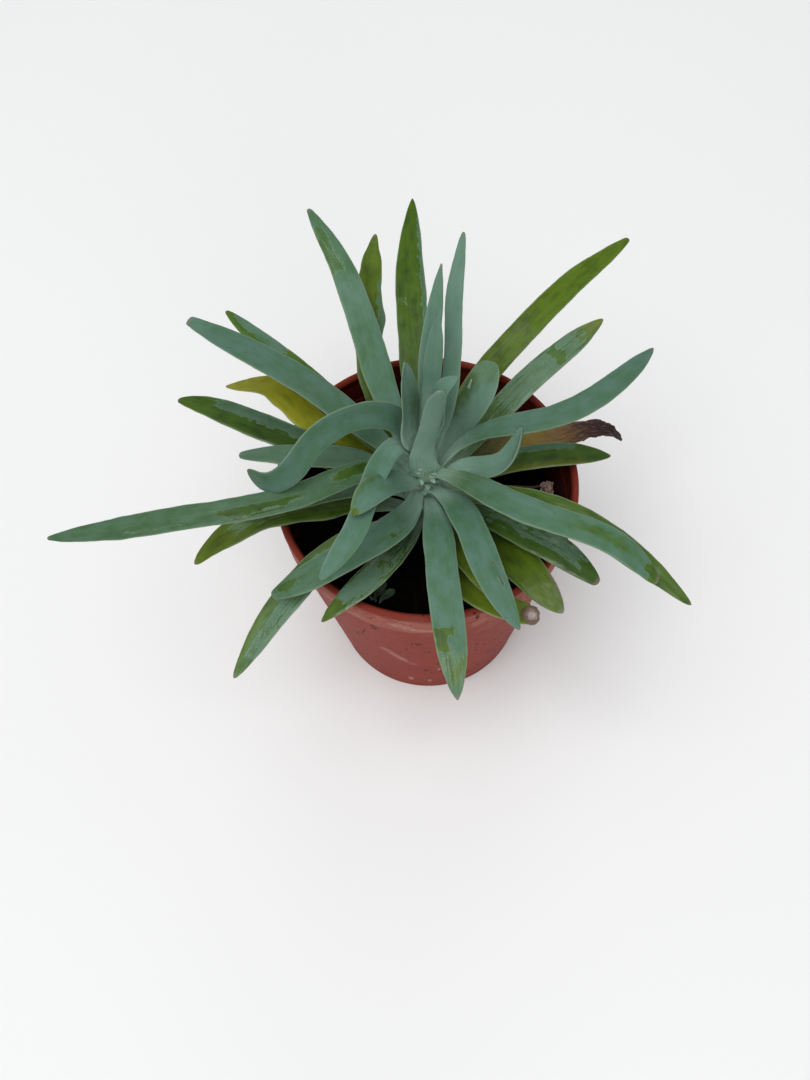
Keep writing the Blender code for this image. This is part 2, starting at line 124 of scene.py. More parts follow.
def make_lamp(lamp):
    data = bpy.data.lights.new(lamp.name, "AREA")
    data.shape = "DISK"
    data.size = lamp.size
    data.energy = lamp.power
    light = bpy.data.objects.new(lamp.name, data)
    light.location = lamp.place
    light.rotation_euler = (LAMP_TARGET - Vector(lamp.place)).to_track_quat("-Z", "Y").to_euler()
    bpy.context.scene.collection.objects.link(light)


for lamp in LAMPS:
    make_lamp(lamp)
world = bpy.data.worlds.new("studio")
world.use_nodes = True
background = world.node_tree.nodes["Background"]
background.inputs["Color"].default_value = WORLD_COLOUR
background.inputs["Strength"].default_value = WORLD_STRENGTH
bpy.context.scene.world = world
bpy.context.scene.view_settings.view_transform = "Standard"
print("lamps:", len(LAMPS))

# %% [markdown]
# ## A small kit for node trees
#
# Materials and Geometry Nodes are both node trees, and long chains of nodes are hard to read as
# code. Here a Wire stands for one output socket. It overloads Python's operators, so an
# expression such as `1 - mask * 0.5` adds the Math nodes by itself.

# %% Wires
class Wire:
    """One output of a node, which Python's operators can work on."""

    def __init__(self, graph, socket):
        self.graph = graph
        self.socket = socket

    def __add__(self, other):
        return self.graph.math("ADD", self, other)

    def __radd__(self, other):
        return self.graph.math("ADD", other, self)

    def __sub__(self, other):
        return self.graph.math("SUBTRACT", self, other)

    def __rsub__(self, other):
        return self.graph.math("SUBTRACT", other, self)

    def __mul__(self, other):
        return self.graph.math("MULTIPLY", self, other)

    def __rmul__(self, other):
        return self.graph.math("MULTIPLY", other, self)

    def __pow__(self, other):
        return self.graph.math("POWER", self, other)


print("wires ready")

# %% [markdown]
# A Graph adds the nodes. Each kind of node comes from one method, Graph.node, which takes the
# node's type, its settings, and what feeds its sockets. The short methods under it are for what
# every material needs: a soft step, a mix of two colours, and noise that can be stretched.

# %% Graphs
class Graph:
    """Adds nodes to one tree, for a material or for geometry."""

    def __init__(self, tree):
        self.tree = tree

    def find(self, sockets, key):
        if isinstance(key, int):
            return sockets[key]
        same = [socket for socket in sockets if socket.identifier == key]
        return same[0] if same else sockets[key]

    def feed(self, node, key, value):
        socket = self.find(node.inputs, key)
        if isinstance(value, Wire):
            self.tree.links.new(value.socket, socket)
        elif socket.type == "RGBA" and len(value) == 3:
            socket.default_value = (*value, 1.0)
        else:
            socket.default_value = value

    def node(self, kind, settings=None, feeds=None, output=0):
        """One node of that kind. Its settings come first, because they decide its sockets."""
        node = self.tree.nodes.new(kind)
        for name, value in (settings or {}).items():
            if name == "stops":
                for stop in value[2:]:
                    node.color_ramp.elements.new(stop[0])
                for element, (place, colour) in zip(node.color_ramp.elements, value):
                    element.position = place
                    element.color = (*colour, 1.0)
            else:
                setattr(node, name, value)
        for key, value in (feeds or {}).items():
            self.feed(node, key, value)
        return Wire(self, self.find(node.outputs, output)) if len(node.outputs) else node

    def math(self, operation, first, second=0.0):
        return self.node("ShaderNodeMath", {"operation": operation}, {0: first, 1: second})

    def vector(self, operation, first, second, output=0):
        return self.node("ShaderNodeVectorMath", {"operation": operation}, {0: first, 1: second}, output)

    def xyz(self, x=0.0, y=0.0, z=0.0):
        """A vector from three numbers."""
        return self.node("ShaderNodeCombineXYZ", None, {"X": x, "Y": y, "Z": z})

    def scaled(self, vector, amount):
        """A vector times a number."""
        return self.node("ShaderNodeVectorMath", {"operation": "SCALE"}, {0: vector, "Scale": amount})

    def smooth(self, value, low, high):
        """0 below low and 1 above high, with a soft step between them."""
        return self.node(
            "ShaderNodeMapRange",
            {"interpolation_type": "SMOOTHSTEP"},
            {"Value": value, "From Min": low, "From Max": high},
        )

    def mix(self, first, second, amount):
        """A colour between two colours."""
        feeds = {"Factor_Float": amount, "A_Color": first, "B_Color": second}
        return self.node("ShaderNodeMix", {"data_type": "RGBA"}, feeds, "Result_Color")

    def noise(self, place, stretch, detail=2.0, roughness=0.5, distortion=0.0):
        """Soft noise round 0.5, on a place whose axes are each multiplied by their stretch."""
        feeds = {
            "Vector": self.vector("MULTIPLY", place, stretch),
            "Scale": 1.0,
            "Detail": detail,
            "Roughness": roughness,
            "Distortion": distortion,
        }
        return self.node("ShaderNodeTexNoise", None, feeds)


print("node kit ready")

# %% [markdown]
# A geometry tree gets its sizes through named inputs, as a plug-in's sliders would. The modifier
# that runs the tree stores them under each socket's identifier, and they have to be there before
# the object is first evaluated. The evaluated result is then copied to a plain mesh and the
# modifier goes, because what is exported is the mesh and not the recipe.

# %% Geometry trees
def geometry_graph(name, sizes):
    """An empty geometry tree with one named input for each size. Gives the graph and its inputs."""
    tree = bpy.data.node_groups.new(name, "GeometryNodeTree")
    tree.interface.new_socket("Geometry", in_out="INPUT", socket_type="NodeSocketGeometry")
    for label, kind in sizes.items():
        tree.interface.new_socket(label, in_out="INPUT", socket_type="NodeSocket" + kind)
    tree.interface.new_socket("Geometry", in_out="OUTPUT", socket_type="NodeSocketGeometry")
    graph = Graph(tree)
    entry = tree.nodes.new("NodeGroupInput")
    given = {label: Wire(graph, entry.outputs[label]) for label in ["Geometry", *sizes]}
    return graph, given


def stored(graph, name, kind="FLOAT"):
    """What a named attribute holds at each point."""
    return graph.node("GeometryNodeInputNamedAttribute", {"data_type": kind}, {"Name": name})


def store(graph, geometry, name, value, kind="FLOAT"):
    feeds = {"Geometry": geometry, "Name": name, "Value": value}
    settings = {"data_type": kind, "domain": "POINT"}
    return graph.node("GeometryNodeStoreNamedAttribute", settings, feeds)


def ring_curve(graph, sides, radius=1.0):
    feeds = {"Resolution": sides, "Radius": radius}
    return graph.node("GeometryNodeCurvePrimitiveCircle", None, feeds)


def swept(graph, curve, profile, caps=True):
    feeds = {"Curve": curve, "Profile Curve": profile, "Fill Caps": caps}
    return graph.node("GeometryNodeCurveToMesh", None, feeds)


def put(graph, geometry, key, vector):
    """Moves each point to a Position, or by an Offset."""
    return graph.node("GeometryNodeSetPosition", None, {"Geometry": geometry, key: vector})


def instances(graph, points, thing, turn=(0.0, 0.0, 0.0), size=(1.0, 1.0, 1.0)):
    """A thing on each point, as real faces."""
    feeds = {"Points": points, "Instance": thing, "Rotation": turn, "Scale": size}
    placed = graph.node("GeometryNodeInstanceOnPoints", None, feeds)
    return graph.node("GeometryNodeRealizeInstances", None, {"Geometry": placed})


def joined(graph, *pieces):
    node = graph.tree.nodes.new("GeometryNodeJoinGeometry")
    for piece in pieces:
        graph.feed(node, "Geometry", piece)
    return Wire(graph, node.outputs[0])


def end_tree(graph, geometry, material):
    """Ends a tree the way each one here ends: real faces, shaded smooth, with their finish."""
    real = graph.node("GeometryNodeRealizeInstances", None, {"Geometry": geometry})
    smooth = graph.node("GeometryNodeSetShadeSmooth", None, {"Geometry": real, "Shade Smooth": True})
    finished = graph.node("GeometryNodeSetMaterial", None, {"Geometry": smooth, "Material": material})
    graph.node("NodeGroupOutput", None, {"Geometry": finished})
    return graph.tree


def run_tree(obj, tree, sizes):
    """Runs a geometry tree on an object, and leaves its result there as a plain mesh."""
    modifier = obj.modifiers.new(tree.name, "NODES")
    modifier.node_group = tree
    for item in tree.interface.items_tree:
        if item.in_out == "INPUT" and item.name in sizes:
            modifier[item.identifier] = sizes[item.name]
    bpy.context.view_layer.update()
    evaluated = obj.evaluated_get(bpy.context.evaluated_depsgraph_get())
    mesh = bpy.data.meshes.new_from_object(evaluated)
    obj.modifiers.clear()
    obj.data = mesh
    return obj


print("tree kit ready")

# %% [markdown]
# Between the trees, Python reads and writes whole meshes at once as arrays. A mark is a number
# or a vector that is stored on each vertex, for a tree or a material to read by its name. The
# volume of a closed mesh tells which way its faces point, since it is negative if they point
# inwards.

# %% Meshes and marks
def line_mesh(name, points):
    """A mesh of edges through places in mm, one after the other."""
    mesh = bpy.data.meshes.new(name)
    mesh.from_pydata(points * MM, [(i, i + 1) for i in range(len(points) - 1)], [])
    return mesh


def points_of(mesh):
    """The places of a mesh's vertices in metres, one row for each."""
    points = np.empty(len(mesh.vertices) * 3, np.float32)
    mesh.vertices.foreach_get("co", points)
    return points.reshape(-1, 3).astype(float)


def volume_of(mesh):
    """Signed volume in cubic metres. It is negative if the faces point inwards."""
    mesh.calc_loop_triangles()
    corners = np.empty(len(mesh.loop_triangles) * 3, np.int32)
    mesh.loop_triangles.foreach_get("vertices", corners)
    points = points_of(mesh)[corners.reshape(-1, 3)]
    return np.einsum("ij,ij->i", points[:, 0], np.cross(points[:, 1], points[:, 2])).sum() / 6


def move_points(mesh, points):
    mesh.vertices.foreach_set("co", points.astype(np.float32).ravel())
    mesh.update()


def point_outwards(obj):
    if volume_of(obj.data) < 0:
        obj.data.flip_normals()


def read_marks(mesh, name, width=1):
    """A point attribute as an array, with one row for each vertex."""
    values = np.empty(len(mesh.vertices) * width, np.float32)
    key = "vector" if width == 3 else "value"
    mesh.attributes[name].data.foreach_get(key, values)
    return values.reshape(-1, width).astype(float) if width == 3 else values.astype(float)


def drop_marks(mesh, names):
    for name in names:
        if name in mesh.attributes:
            mesh.attributes.remove(mesh.attributes[name])


def write_marks(mesh, name, values):
    """Stores an array as a point attribute, a number or a vector for each vertex."""
    values = np.asarray(values, np.float32)
    kind, key = ("FLOAT_VECTOR", "vector") if values.ndim == 2 else ("FLOAT", "value")
    drop_marks(mesh, [name])
    mesh.attributes.new(name, kind, "POINT").data.foreach_set(key, values.ravel())


def add_object(name, mesh):
    obj = bpy.data.objects.new(name, mesh)
    bpy.context.scene.collection.objects.link(obj)
    return obj


def join_meshes(keeper, others):
    """Adds the others' faces to the keeper's mesh. Attributes of the same name are kept."""
    with bpy.context.temp_override(
        active_object=keeper, object=keeper, selected_editable_objects=[keeper, *others]
    ):
        bpy.ops.object.join()
    return keeper


def dress(obj, slot, *nodes):
    """Makes an object a finished piece: it rides on the body and stands for its solids."""
    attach(obj, BODY)
    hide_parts(*nodes)
    print(f"{obj.name}: {len(obj.data.polygons)} faces for {', '.join(nodes)}")


print("mesh kit ready")

# %% [markdown]
# ## Small helpers for shapes
#
# The plant is measured round its stem, so a place is written as a heading, a distance from the
# pot's axis and a height. Curved paths run through a few given points. A natural cubic
# spline gives the smooth bends of a growing leaf without any handles to place.

# %% Places and paths
SPLINE_SAMPLES = 200


def polar(heading, reach, height):
    """A place in mm. Heading 0 is +x, 90 the back of the pot and 270 its front."""
    angle = math.radians(heading)
    return np.array((reach * math.cos(angle), reach * math.sin(angle), height))


def ramp(values, low, high):
    """0 below low and 1 above high, with a soft step between them."""
    share = np.clip((values - low) / (high - low), 0.0, 1.0)
    return share * share * (3 - 2 * share)


def wobble(value, size, seed):
    """A smooth random number round 0 that changes over the given size."""
    return noise.noise(Vector((value / size, 7.3 * seed, 0.5)))


def spline(points, shares):
    """Points at the given shares of the length of a natural cubic spline."""
    points = np.array(points)
    last = len(points) - 1
    chords = np.linalg.norm(np.diff(points, axis=0), axis=1)
    knots = np.concatenate(([0.0], np.cumsum(np.sqrt(chords))))
    steps = np.diff(knots)
    slopes = np.diff(points, axis=0) / steps[:, None]
    system = np.eye(last + 1)
    target = np.zeros((last + 1, 3))
    for i in range(1, last):
        system[i, i - 1 : i + 2] = steps[i - 1], 2 * (steps[i - 1] + steps[i]), steps[i]
        target[i] = 6 * (slopes[i] - slopes[i - 1])
    bends = np.linalg.solve(system, target)
    fine = []
    for knot in np.linspace(0.0, knots[-1], SPLINE_SAMPLES):
        i = min(int(np.searchsorted(knots, knot, side="right")) - 1, last - 1)
        before = (knots[i + 1] - knot) / steps[i]
        after = (knot - knots[i]) / steps[i]
        curve = (before**3 - before) * bends[i] + (after**3 - after) * bends[i + 1]
        fine.append(before * points[i] + after * points[i + 1] + curve * steps[i] ** 2 / 6)
    fine = np.array(fine)
    run = np.concatenate(([0.0], np.cumsum(np.linalg.norm(np.diff(fine, axis=0), axis=1))))
    return np.stack([np.interp(shares * run[-1], run, fine[:, k]) for k in range(3)], axis=1)


print("path kit ready")

# %% [markdown]
# ## The leaf table
#
# Each leaf of the real plant has its own place, bend, width and tip, so each one is a row here,
# close to the row that its solid was built from. root is the heading and height where it leaves
# the stem, and path takes it on from there. neck is the share of its width at the root, full the
# share of its length where the width is reached, taper where it starts to narrow, point how
# bluntly it narrows and end the share of the width at the tip. thick is in millimetres, and twist
# is how many degrees the leaf turns about its own length.
#
# The rows go round the pot from the back by way of the left. There the oldest leaves lie flat
# over the rim, one of them yellow. Younger ones rise above them: one is bent over in an arch, and
# one reaches further out than any other.

# %% Leaves at the back and the left
Leaf = namedtuple(
    "Leaf",
    "name width root path neck full taper point end thick twist",
    defaults=(0.45, 0.4, 0.6, 2.2, 0.0, 2.6, 0),
)
LEFT_LEAVES = (
    Leaf("leaf_back_tall", 11.2, (92, 103),
         ((94, 29, 118), (94, 65, 131), (93, 87, 137), (92, 105, 142)), taper=0.55, point=2.0, end=0.03),
    Leaf("leaf_back_low", 10.6, (100, 95),
         ((116, 35.5, 107), (111, 59, 121), (105, 80, 126), (100, 104, 126)), point=1.9, end=0.05),
    Leaf("leaf_back_left", 10.4, (118, 108),
         ((119, 27, 126), (113, 64, 140), (113, 80, 145), (114, 103, 149)), taper=0.45, end=0.12),
    Leaf("leaf_rear_left_low", 9.4, (136, 99),
         ((137, 29, 111), (140, 59, 123), (138, 101, 124)), taper=0.5, end=0.1),
    Leaf("leaf_rear_left", 9.8, (147, 110),
         ((153, 20.5, 125.5), (150, 50, 138), (150, 79, 142), (150, 97, 143)), end=0.3),
    Leaf("leaf_yellow", 11.6, (150, 91),
         ((149, 23.5, 103), (151, 45, 113), (146, 68, 115), (150, 88, 108)), point=2.0, end=0.05),
    Leaf("leaf_left_wet", 11.0, (168, 96),
         ((166, 21.5, 106), (164, 47, 116), (161, 73, 118), (160, 86, 117), (160, 98, 115)),
         point=2.6, end=0.12),
    Leaf("leaf_left_short", 9.0, (171, 104),
         ((165, 22, 113), (172, 42, 119), (175, 67, 120)), taper=0.52, point=2.0, end=0.2),
    Leaf("leaf_arched", 9.0, (146, 121),
         ((155, 11.5, 143), (180, 24, 151), (194, 38, 151), (200, 47, 145), (199, 55, 141), (192, 61, 140)),
         neck=0.6, full=0.3, taper=0.86, point=3.2, end=0.12),
    Leaf("leaf_longest", 8.2, (192, 112),
         ((196, 20, 127.5), (205, 46, 135), (200, 79, 136), (195, 113, 130), (193, 132, 126)),
         neck=0.7, full=0.25, taper=0.7, point=2.0, end=0.1),
    Leaf("leaf_under_longest", 8.0, (195, 101),
         ((190, 20, 112), (195, 42, 119), (195, 67, 118)), end=0.12),
    Leaf("leaf_left_low", 12.8, (206, 92),
         ((190, 24.5, 103.5), (194, 47, 113), (196, 68, 113), (198, 79, 110), (200, 88, 106)),
         point=2.4, end=0.04),
)
print("leaves at the back and the left:", len(LEFT_LEAVES))

# %% [markdown]
# In front the leaves hang out over the rim. Two young ones rise first and then bend down, and the
# one beside the right-hand pair ends in a corky ball, where its tip broke off.

# %% Leaves in front
FRONT_LEAVES = (
    Leaf("leaf_front_left", 10.6, (231, 109),
         ((248, 23, 119), (234, 47, 125), (228, 63, 125), (225, 73, 124)),
         taper=0.68, point=2.1, end=0.2),
    Leaf("leaf_front_left_low", 10.0, (224, 98),
         ((237, 21, 109), (225, 40, 115), (226, 69, 117), (229, 99, 110)), point=2.3, end=0.05),
    Leaf("leaf_drooping", 7.8, (203, 122),
         ((197, 10, 138), (225, 24.5, 142), (239, 45, 144.5), (238, 64, 142)),
         neck=0.6, taper=0.7, end=0.12),
    Leaf("leaf_short_bent", 9.0, (214, 116),
         ((235, 17, 133.5), (235, 30, 146), (236, 42.5, 148.5)), neck=0.6, full=0.3, taper=0.7),
    Leaf("leaf_front_left_small", 9.6, (246, 94),
         ((249, 19, 104), (245, 43, 114), (240, 57, 115), (237, 66.5, 112)),
         taper=0.55, end=0.04),
    Leaf("leaf_front", 10.3, (277, 106),
         ((278, 21, 118), (276, 47, 124), (276, 67, 121), (276, 86, 116)),
         neck=0.4, full=0.38, taper=0.72, point=2.0),
    Leaf("leaf_front_right", 9.8, (300, 111),
         ((299, 23, 125), (294, 42, 130), (293, 58, 129), (294, 71.5, 125)), point=2.1, end=0.05),
    Leaf("leaf_front_right_low", 8.0, (302, 99),
         ((293, 21, 109), (291, 36, 116), (294, 55, 117)), end=0.12),
    Leaf("leaf_callus_tip", 9.5, (283, 92),
         ((286, 24, 103), (288, 46, 111), (302, 64, 112)), taper=0.85, point=4.0, end=0.75),
)
print("leaves in front:", len(FRONT_LEAVES))

# %% [markdown]
# At the right one leaf has withered, one is cupped like a boat and one is broad and blunt as a
# spoon. The rows end at the back right with a long green one and a young upright one.

# %% Leaves at the right
RIGHT_LEAVES = (
    Leaf("leaf_right_broad", 12.0, (327, 91),
         ((319, 18.5, 100), (312, 45, 112), (310, 70.5, 112)), taper=0.66, point=2.4, end=0.04),
    Leaf("leaf_right_wet", 9.8, (336, 101),
         ((322, 23.5, 113.5), (321, 47, 120), (322, 57, 120), (321.5, 73, 116.5)), taper=0.7, end=0.2),
    Leaf("leaf_right_long", 9.2, (320, 120),
         ((311, 20, 134.5), (317, 50, 144), (325, 72, 140), (326, 90, 128)),
         taper=0.78, point=2.6, end=0.25),
    Leaf("leaf_right_long_low", 9.9, (352, 105),
         ((333, 21, 116), (334, 50, 124), (331, 78, 123), (328, 102.5, 118)),
         taper=0.55, end=0.04),
    Leaf("leaf_right_green", 9.6, (4, 97),
         ((14, 17, 107), (7, 41, 117), (6, 57, 116), (6, 67, 113)), taper=0.66, point=2.1, end=0.03),
    Leaf("leaf_withered", 10.0, (22, 91),
         ((36, 21.5, 104.5), (17, 50, 115), (15, 66, 116), (13, 74, 109)),
         taper=0.5, point=1.3, end=0.25),
    Leaf("leaf_cupped", 9.2, (350, 114),
         ((336, 14, 126), (342, 27, 134), (358, 32, 145)), taper=0.62, end=0.06),
    Leaf("leaf_rear_right", 8.0, (12, 118),
         ((10, 18, 135.5), (2, 41, 147), (9, 61, 151), (19, 82, 150)), full=0.5, taper=0.7, end=0.03),
    Leaf("leaf_spoon", 11.6, (50, 112),
         ((44, 16, 129.5), (39, 23.5, 142), (46, 32.5, 149)), neck=0.42, taper=0.74, point=2.8, end=0.3),
    Leaf("leaf_back_right_long", 9.5, (60, 97),
         ((65, 34, 112), (55, 61, 128), (52, 87, 133), (49, 119, 134)), end=0.15),
    Leaf("leaf_back_right", 9.4, (38, 101),
         ((41, 28, 115.5), (40, 53, 127), (40, 86, 130)), full=0.5, taper=0.68, end=0.05),
    Leaf("leaf_crown_right", 5.8, (70, 120),
         ((57, 15.5, 149.5), (73, 33.5, 166.5), (75, 43, 172), (76, 56, 178)),
         neck=0.7, taper=0.62, end=0.12, thick=2.2),
)
LEAVES = LEFT_LEAVES + FRONT_LEAVES + RIGHT_LEAVES
print("leaves at the right:", len(RIGHT_LEAVES), "of", len(LEAVES))

# %% [markdown]
# Five more leaves make the growing tip. They stand upright and wrap round one another.

# %% Young leaves
YOUNG_LEAVES = (
    Leaf("young_back", 6.0, (95, 133),
         ((86, 12, 158), (82, 24, 175), (80, 34.5, 186)), neck=0.6, taper=0.5, thick=2.2),
    Leaf("young_back_inner", 5.8, (75, 138),
         ((77, 11, 160), (76, 19, 180)), neck=0.6, thick=2.0),
    Leaf("young_left", 8.2, (130, 131),
         ((188, 5.5, 141), (164, 5.5, 151), (150, 6.5, 163), (144, 7.5, 175)),
         neck=0.9, thick=1.8, twist=-10),
    Leaf("young_front", 6.6, (275, 119),
         ((256, 4.6, 132), (280, 4, 148), (321, 4, 160), (321, 6, 171)),
         neck=1.6, full=0.55, taper=0.7, point=2.6, end=0.15, thick=2.4),
    Leaf("young_right", 6.6, (40, 135),
         ((34, 5, 150), (39, 7, 160), (30, 12.5, 164)), neck=0.7, thick=1.8),
)
print("leaves at the growing tip:", len(YOUNG_LEAVES))

# %% [markdown]
# ## What each leaf looks like
#
# The skin of every leaf is the same: green flesh under a thin coat of pale blue wax, called
# bloom. What differs is how much of it is left, because rain, fingers and age take it off in
# streaks and patches. So a leaf's look is a handful of numbers, and a list of patches where one
# of them changes:
#
# * bloom is the share of the skin that has its wax, film how thick that wax is, marble how
#   broken its border is and haze how much is left on the rubbed skin;
# * olive yellows the flesh, shade darkens the skin, pale lightens the wax (in the shaded middle of
#   the plant partly as painted light), gloss is how wet the leaf is and tip how brown its point;
# * base is how far up from the root the leaf is pale, in millimetres, partly its bleached root and
#   partly painted light for the shaded middle of the plant, and wavy how uneven its outline is;
# * channel and cup bend the cross section: a groove along the middle, or margins that stand up.
#
# A patch adds its amount to one of them. It is given in shares: how far along the leaf it starts
# and stops, and how far to its left and right it reaches, with -1 and 1 at the margins. blur and
# side are how softly it ends, lengthways and sideways.
#
# At the back and the left the old leaves have hardly any wax, so their green shows. The younger
# ones above them are waxy, with a rubbed streak or two.

# %% Looks at the back and the left
Patch = namedtuple("Patch", "mark amount start stop left right blur side", defaults=(-1.3, 1.3, 0.04, 0.2))
Look = namedtuple(
    "Look",
    "bloom film marble olive gloss shade tip haze pale base wavy channel cup patches",
    defaults=(1.0, 0.9, 0.15, 0.0, 0.1, 0.0, 0.5, 0.35, 0.0, 24.0, 0.0, 0.3, 0.0, ()),
)
LOOKS = {
    "leaf_back_tall": Look(bloom=0.0, film=0.75, marble=0.2, gloss=0.12, shade=0.26, haze=0.0, patches=(
        Patch("bloom", 0.75, 0.3, 0.93, 0.62),
        Patch("bloom", 0.4, 0.61, 0.625, -1.0, 0.0, 0.008),
        Patch("shade", 0.4, 0.0, 0.4, blur=0.1),
    )),
    "leaf_back_low": Look(
        bloom=0.05, film=0.65, marble=0.25, olive=0.12, gloss=0.2, haze=0.06, wavy=0.7, tip=0.9, patches=(
        Patch("bloom", 0.5, 0.35, 0.8, 0.7),
        Patch("shade", 0.4, 0.0, 0.4, blur=0.1),
        Patch("bloom", 0.4, 0.55, 0.75, 0.45, 1.0, 0.06),
    )),
    "leaf_back_left": Look(film=0.85, haze=0.5, tip=0.7, patches=(
        Patch("bloom", -0.62, 0.72, 0.93, -1.3, 0.3, 0.02, 0.35),
        Patch("film", -0.2, 0.7, 1.0, blur=0.02),
        Patch("pale", 0.35, 0.55, 0.72, blur=0.05),
        Patch("film", -0.15, 0.25, 0.6, -1.3, 0.2, 0.1),
    )),
    "leaf_rear_left_low": Look(bloom=0.08, film=0.7, marble=0.4, gloss=0.5, haze=0.15, patches=(
        Patch("bloom", 0.75, 0.7, 0.96, -0.1),
    )),
    "leaf_rear_left": Look(film=0.88, tip=0.9, patches=(
        Patch("film", -0.12, 0.2, 0.6, -1.3, 0.4, 0.1),
        Patch("shade", 0.4, 0.0, 0.93, blur=0.06),
    )),
    "leaf_yellow": Look(
        bloom=0.0, olive=1.0, gloss=0.15, haze=0.05, wavy=0.9, tip=0.9, marble=0.05, patches=(
        Patch("olive", -0.55, 0.0, 0.42, blur=0.12),
        Patch("shade", 0.3, 0.0, 0.3, blur=0.1),
    )),
    "leaf_left_wet": Look(bloom=0.05, film=0.6, marble=0.35, gloss=0.6, shade=0.38, haze=0.02, patches=(
        Patch("bloom", 0.7, 0.2, 0.84, 0.1),
        Patch("pale", 0.8, 0.45, 0.84, -0.1, 0.35),
        Patch("shade", 0.5, 0.0, 0.75, -1.3, 0.9, 0.2),
    )),
    "leaf_left_short": Look(bloom=0.85, pale=0.3, film=0.7, marble=0.5, gloss=0.4, shade=0.4),
    "leaf_arched": Look(shade=0.4, cup=0.08, patches=(
        Patch("film", -0.3, 0.93, 1.0),
    )),
    "leaf_longest": Look(
        bloom=0.85, film=0.6, marble=0.3, haze=0.12, gloss=0.2, shade=0.35, tip=0.6, patches=(
        Patch("bloom", -0.85, 0.37, 0.57, -0.4, 0.1),
        Patch("bloom", -0.6, 0.4, 0.55, -0.8, -0.5),
        Patch("bloom", -0.8, 0.15, 0.27, -0.2, 0.6),
        Patch("bloom", -0.6, 0.62, 0.82, -0.62, -0.4),
        Patch("shade", 0.25, 0.37, 0.57, -0.8, 0.1),
    )),
    "leaf_under_longest": Look(bloom=0.55, film=0.6, marble=0.85, gloss=0.6, shade=0.4),
    "leaf_left_low": Look(
        bloom=0.05, film=0.6, marble=0.55, olive=0.05, gloss=0.35, haze=0.1, wavy=0.7, tip=0.9, patches=(
        Patch("shade", 0.2, 0.0, 0.35, blur=0.1),
        Patch("olive", 0.14, 0.75, 1.0, blur=0.1),
        Patch("bloom", 0.42, 0.58, 0.82, -0.5, 0.6),
        Patch("pale", 0.6, 0.58, 0.82),
    )),
}
print("looks at the back and the left:", len(LOOKS))

# %% [markdown]
# In front most leaves are waxy, and rubbed bare in short bars, along one margin or at the tip.
# The two lowest are plain green.

# %% Looks in front
LOOKS |= {
    "leaf_front_left": Look(bloom=0.9, film=0.85, marble=0.2, gloss=0.2, shade=0.2, patches=(
        Patch("bloom", -0.55, 0.345, 0.36, -0.9, 0.2, 0.006),
        Patch("bloom", -0.65, 0.38, 0.395, -1.0, -0.2, 0.006),
        Patch("bloom", -0.8, 0.86, 0.97, -0.2, 0.6, 0.02),
        Patch("film", -0.2, 0.75, 1.0),
    )),
    "leaf_front_left_low": Look(
        bloom=0.6, pale=0.5, film=0.75, marble=0.7, gloss=0.35, tip=0.8, patches=(
        Patch("bloom", -0.6, 0.3, 0.97, 0.4),
        Patch("olive", 0.1, 0.3, 1.0, 0.3),
        Patch("shade", 0.5, 0.3, 0.75, 0.5),
        Patch("bloom", -0.4, 0.92, 1.0),
    )),
    "leaf_drooping": Look(film=0.97, pale=0.05, base=28.0, cup=0.1, patches=(
        Patch("film", -0.25, 0.78, 0.94, -1.3, -0.3),
    )),
    "leaf_short_bent": Look(film=0.97, pale=0.1, tip=0.1, base=26.0, patches=(
        Patch("film", -0.4, 0.5, 0.98, 0.45, 1.3, 0.08),
        Patch("bloom", -0.9, 0.95, 1.0, blur=0.015),
        Patch("olive", 0.2, 0.9, 1.0),
    )),
    "leaf_front_left_small": Look(
        bloom=0.45, pale=0.5, film=0.75, marble=0.6, gloss=0.9, shade=0.2, haze=0.15, patches=(
        Patch("bloom", 0.6, 0.62, 0.86, -0.45, 0.6),
        Patch("bloom", -0.8, 0.9, 1.0, blur=0.09),
        Patch("olive", 0.1, 0.85, 1.0),
        Patch("shade", 0.5, 0.0, 0.5),
    )),
    "leaf_front": Look(bloom=0.95, film=0.85, haze=0.15, tip=1.0, patches=(
        Patch("bloom", -0.8, 0.72, 0.755, -0.35, 0.9, 0.006),
        Patch("bloom", -1.0, 0.72, 0.81, 0.25, 0.9, 0.01),
        Patch("shade", 0.45, 0.72, 0.8, 0.1, 0.9),
        Patch("bloom", -0.48, 0.8, 0.98, blur=0.06),
        Patch("marble", 0.15, 0.78, 1.0),
        Patch("olive", 0.15, 0.8, 1.0),
    )),
    "leaf_front_right": Look(film=0.95, shade=0.16, patches=(
        Patch("bloom", -0.65, 0.66, 0.8, -0.75, -0.25, 0.02),
        Patch("shade", 0.4, 0.66, 0.8, -0.75, -0.25),
        Patch("bloom", 0.7, 0.7, 0.75, -0.55, -0.35, 0.01),
    )),
    "leaf_front_right_low": Look(bloom=0.0, olive=0.2, gloss=0.45, marble=0.1, haze=0.08, patches=(
        Patch("shade", 0.8, 0.0, 0.55, blur=0.15),
    )),
    "leaf_callus_tip": Look(bloom=0.0, olive=0.25, gloss=0.6, marble=0.1, haze=0.05, tip=0.0, patches=(
        Patch("shade", 0.9, 0.0, 0.62, blur=0.15),
    )),
}
print("looks with those in front:", len(LOOKS))

# %% [markdown]
# At the right the leaves are wetter and their wax is mottled. The spoon-shaped leaf is rubbed
# down one side, and the youngest leaves have all their wax.

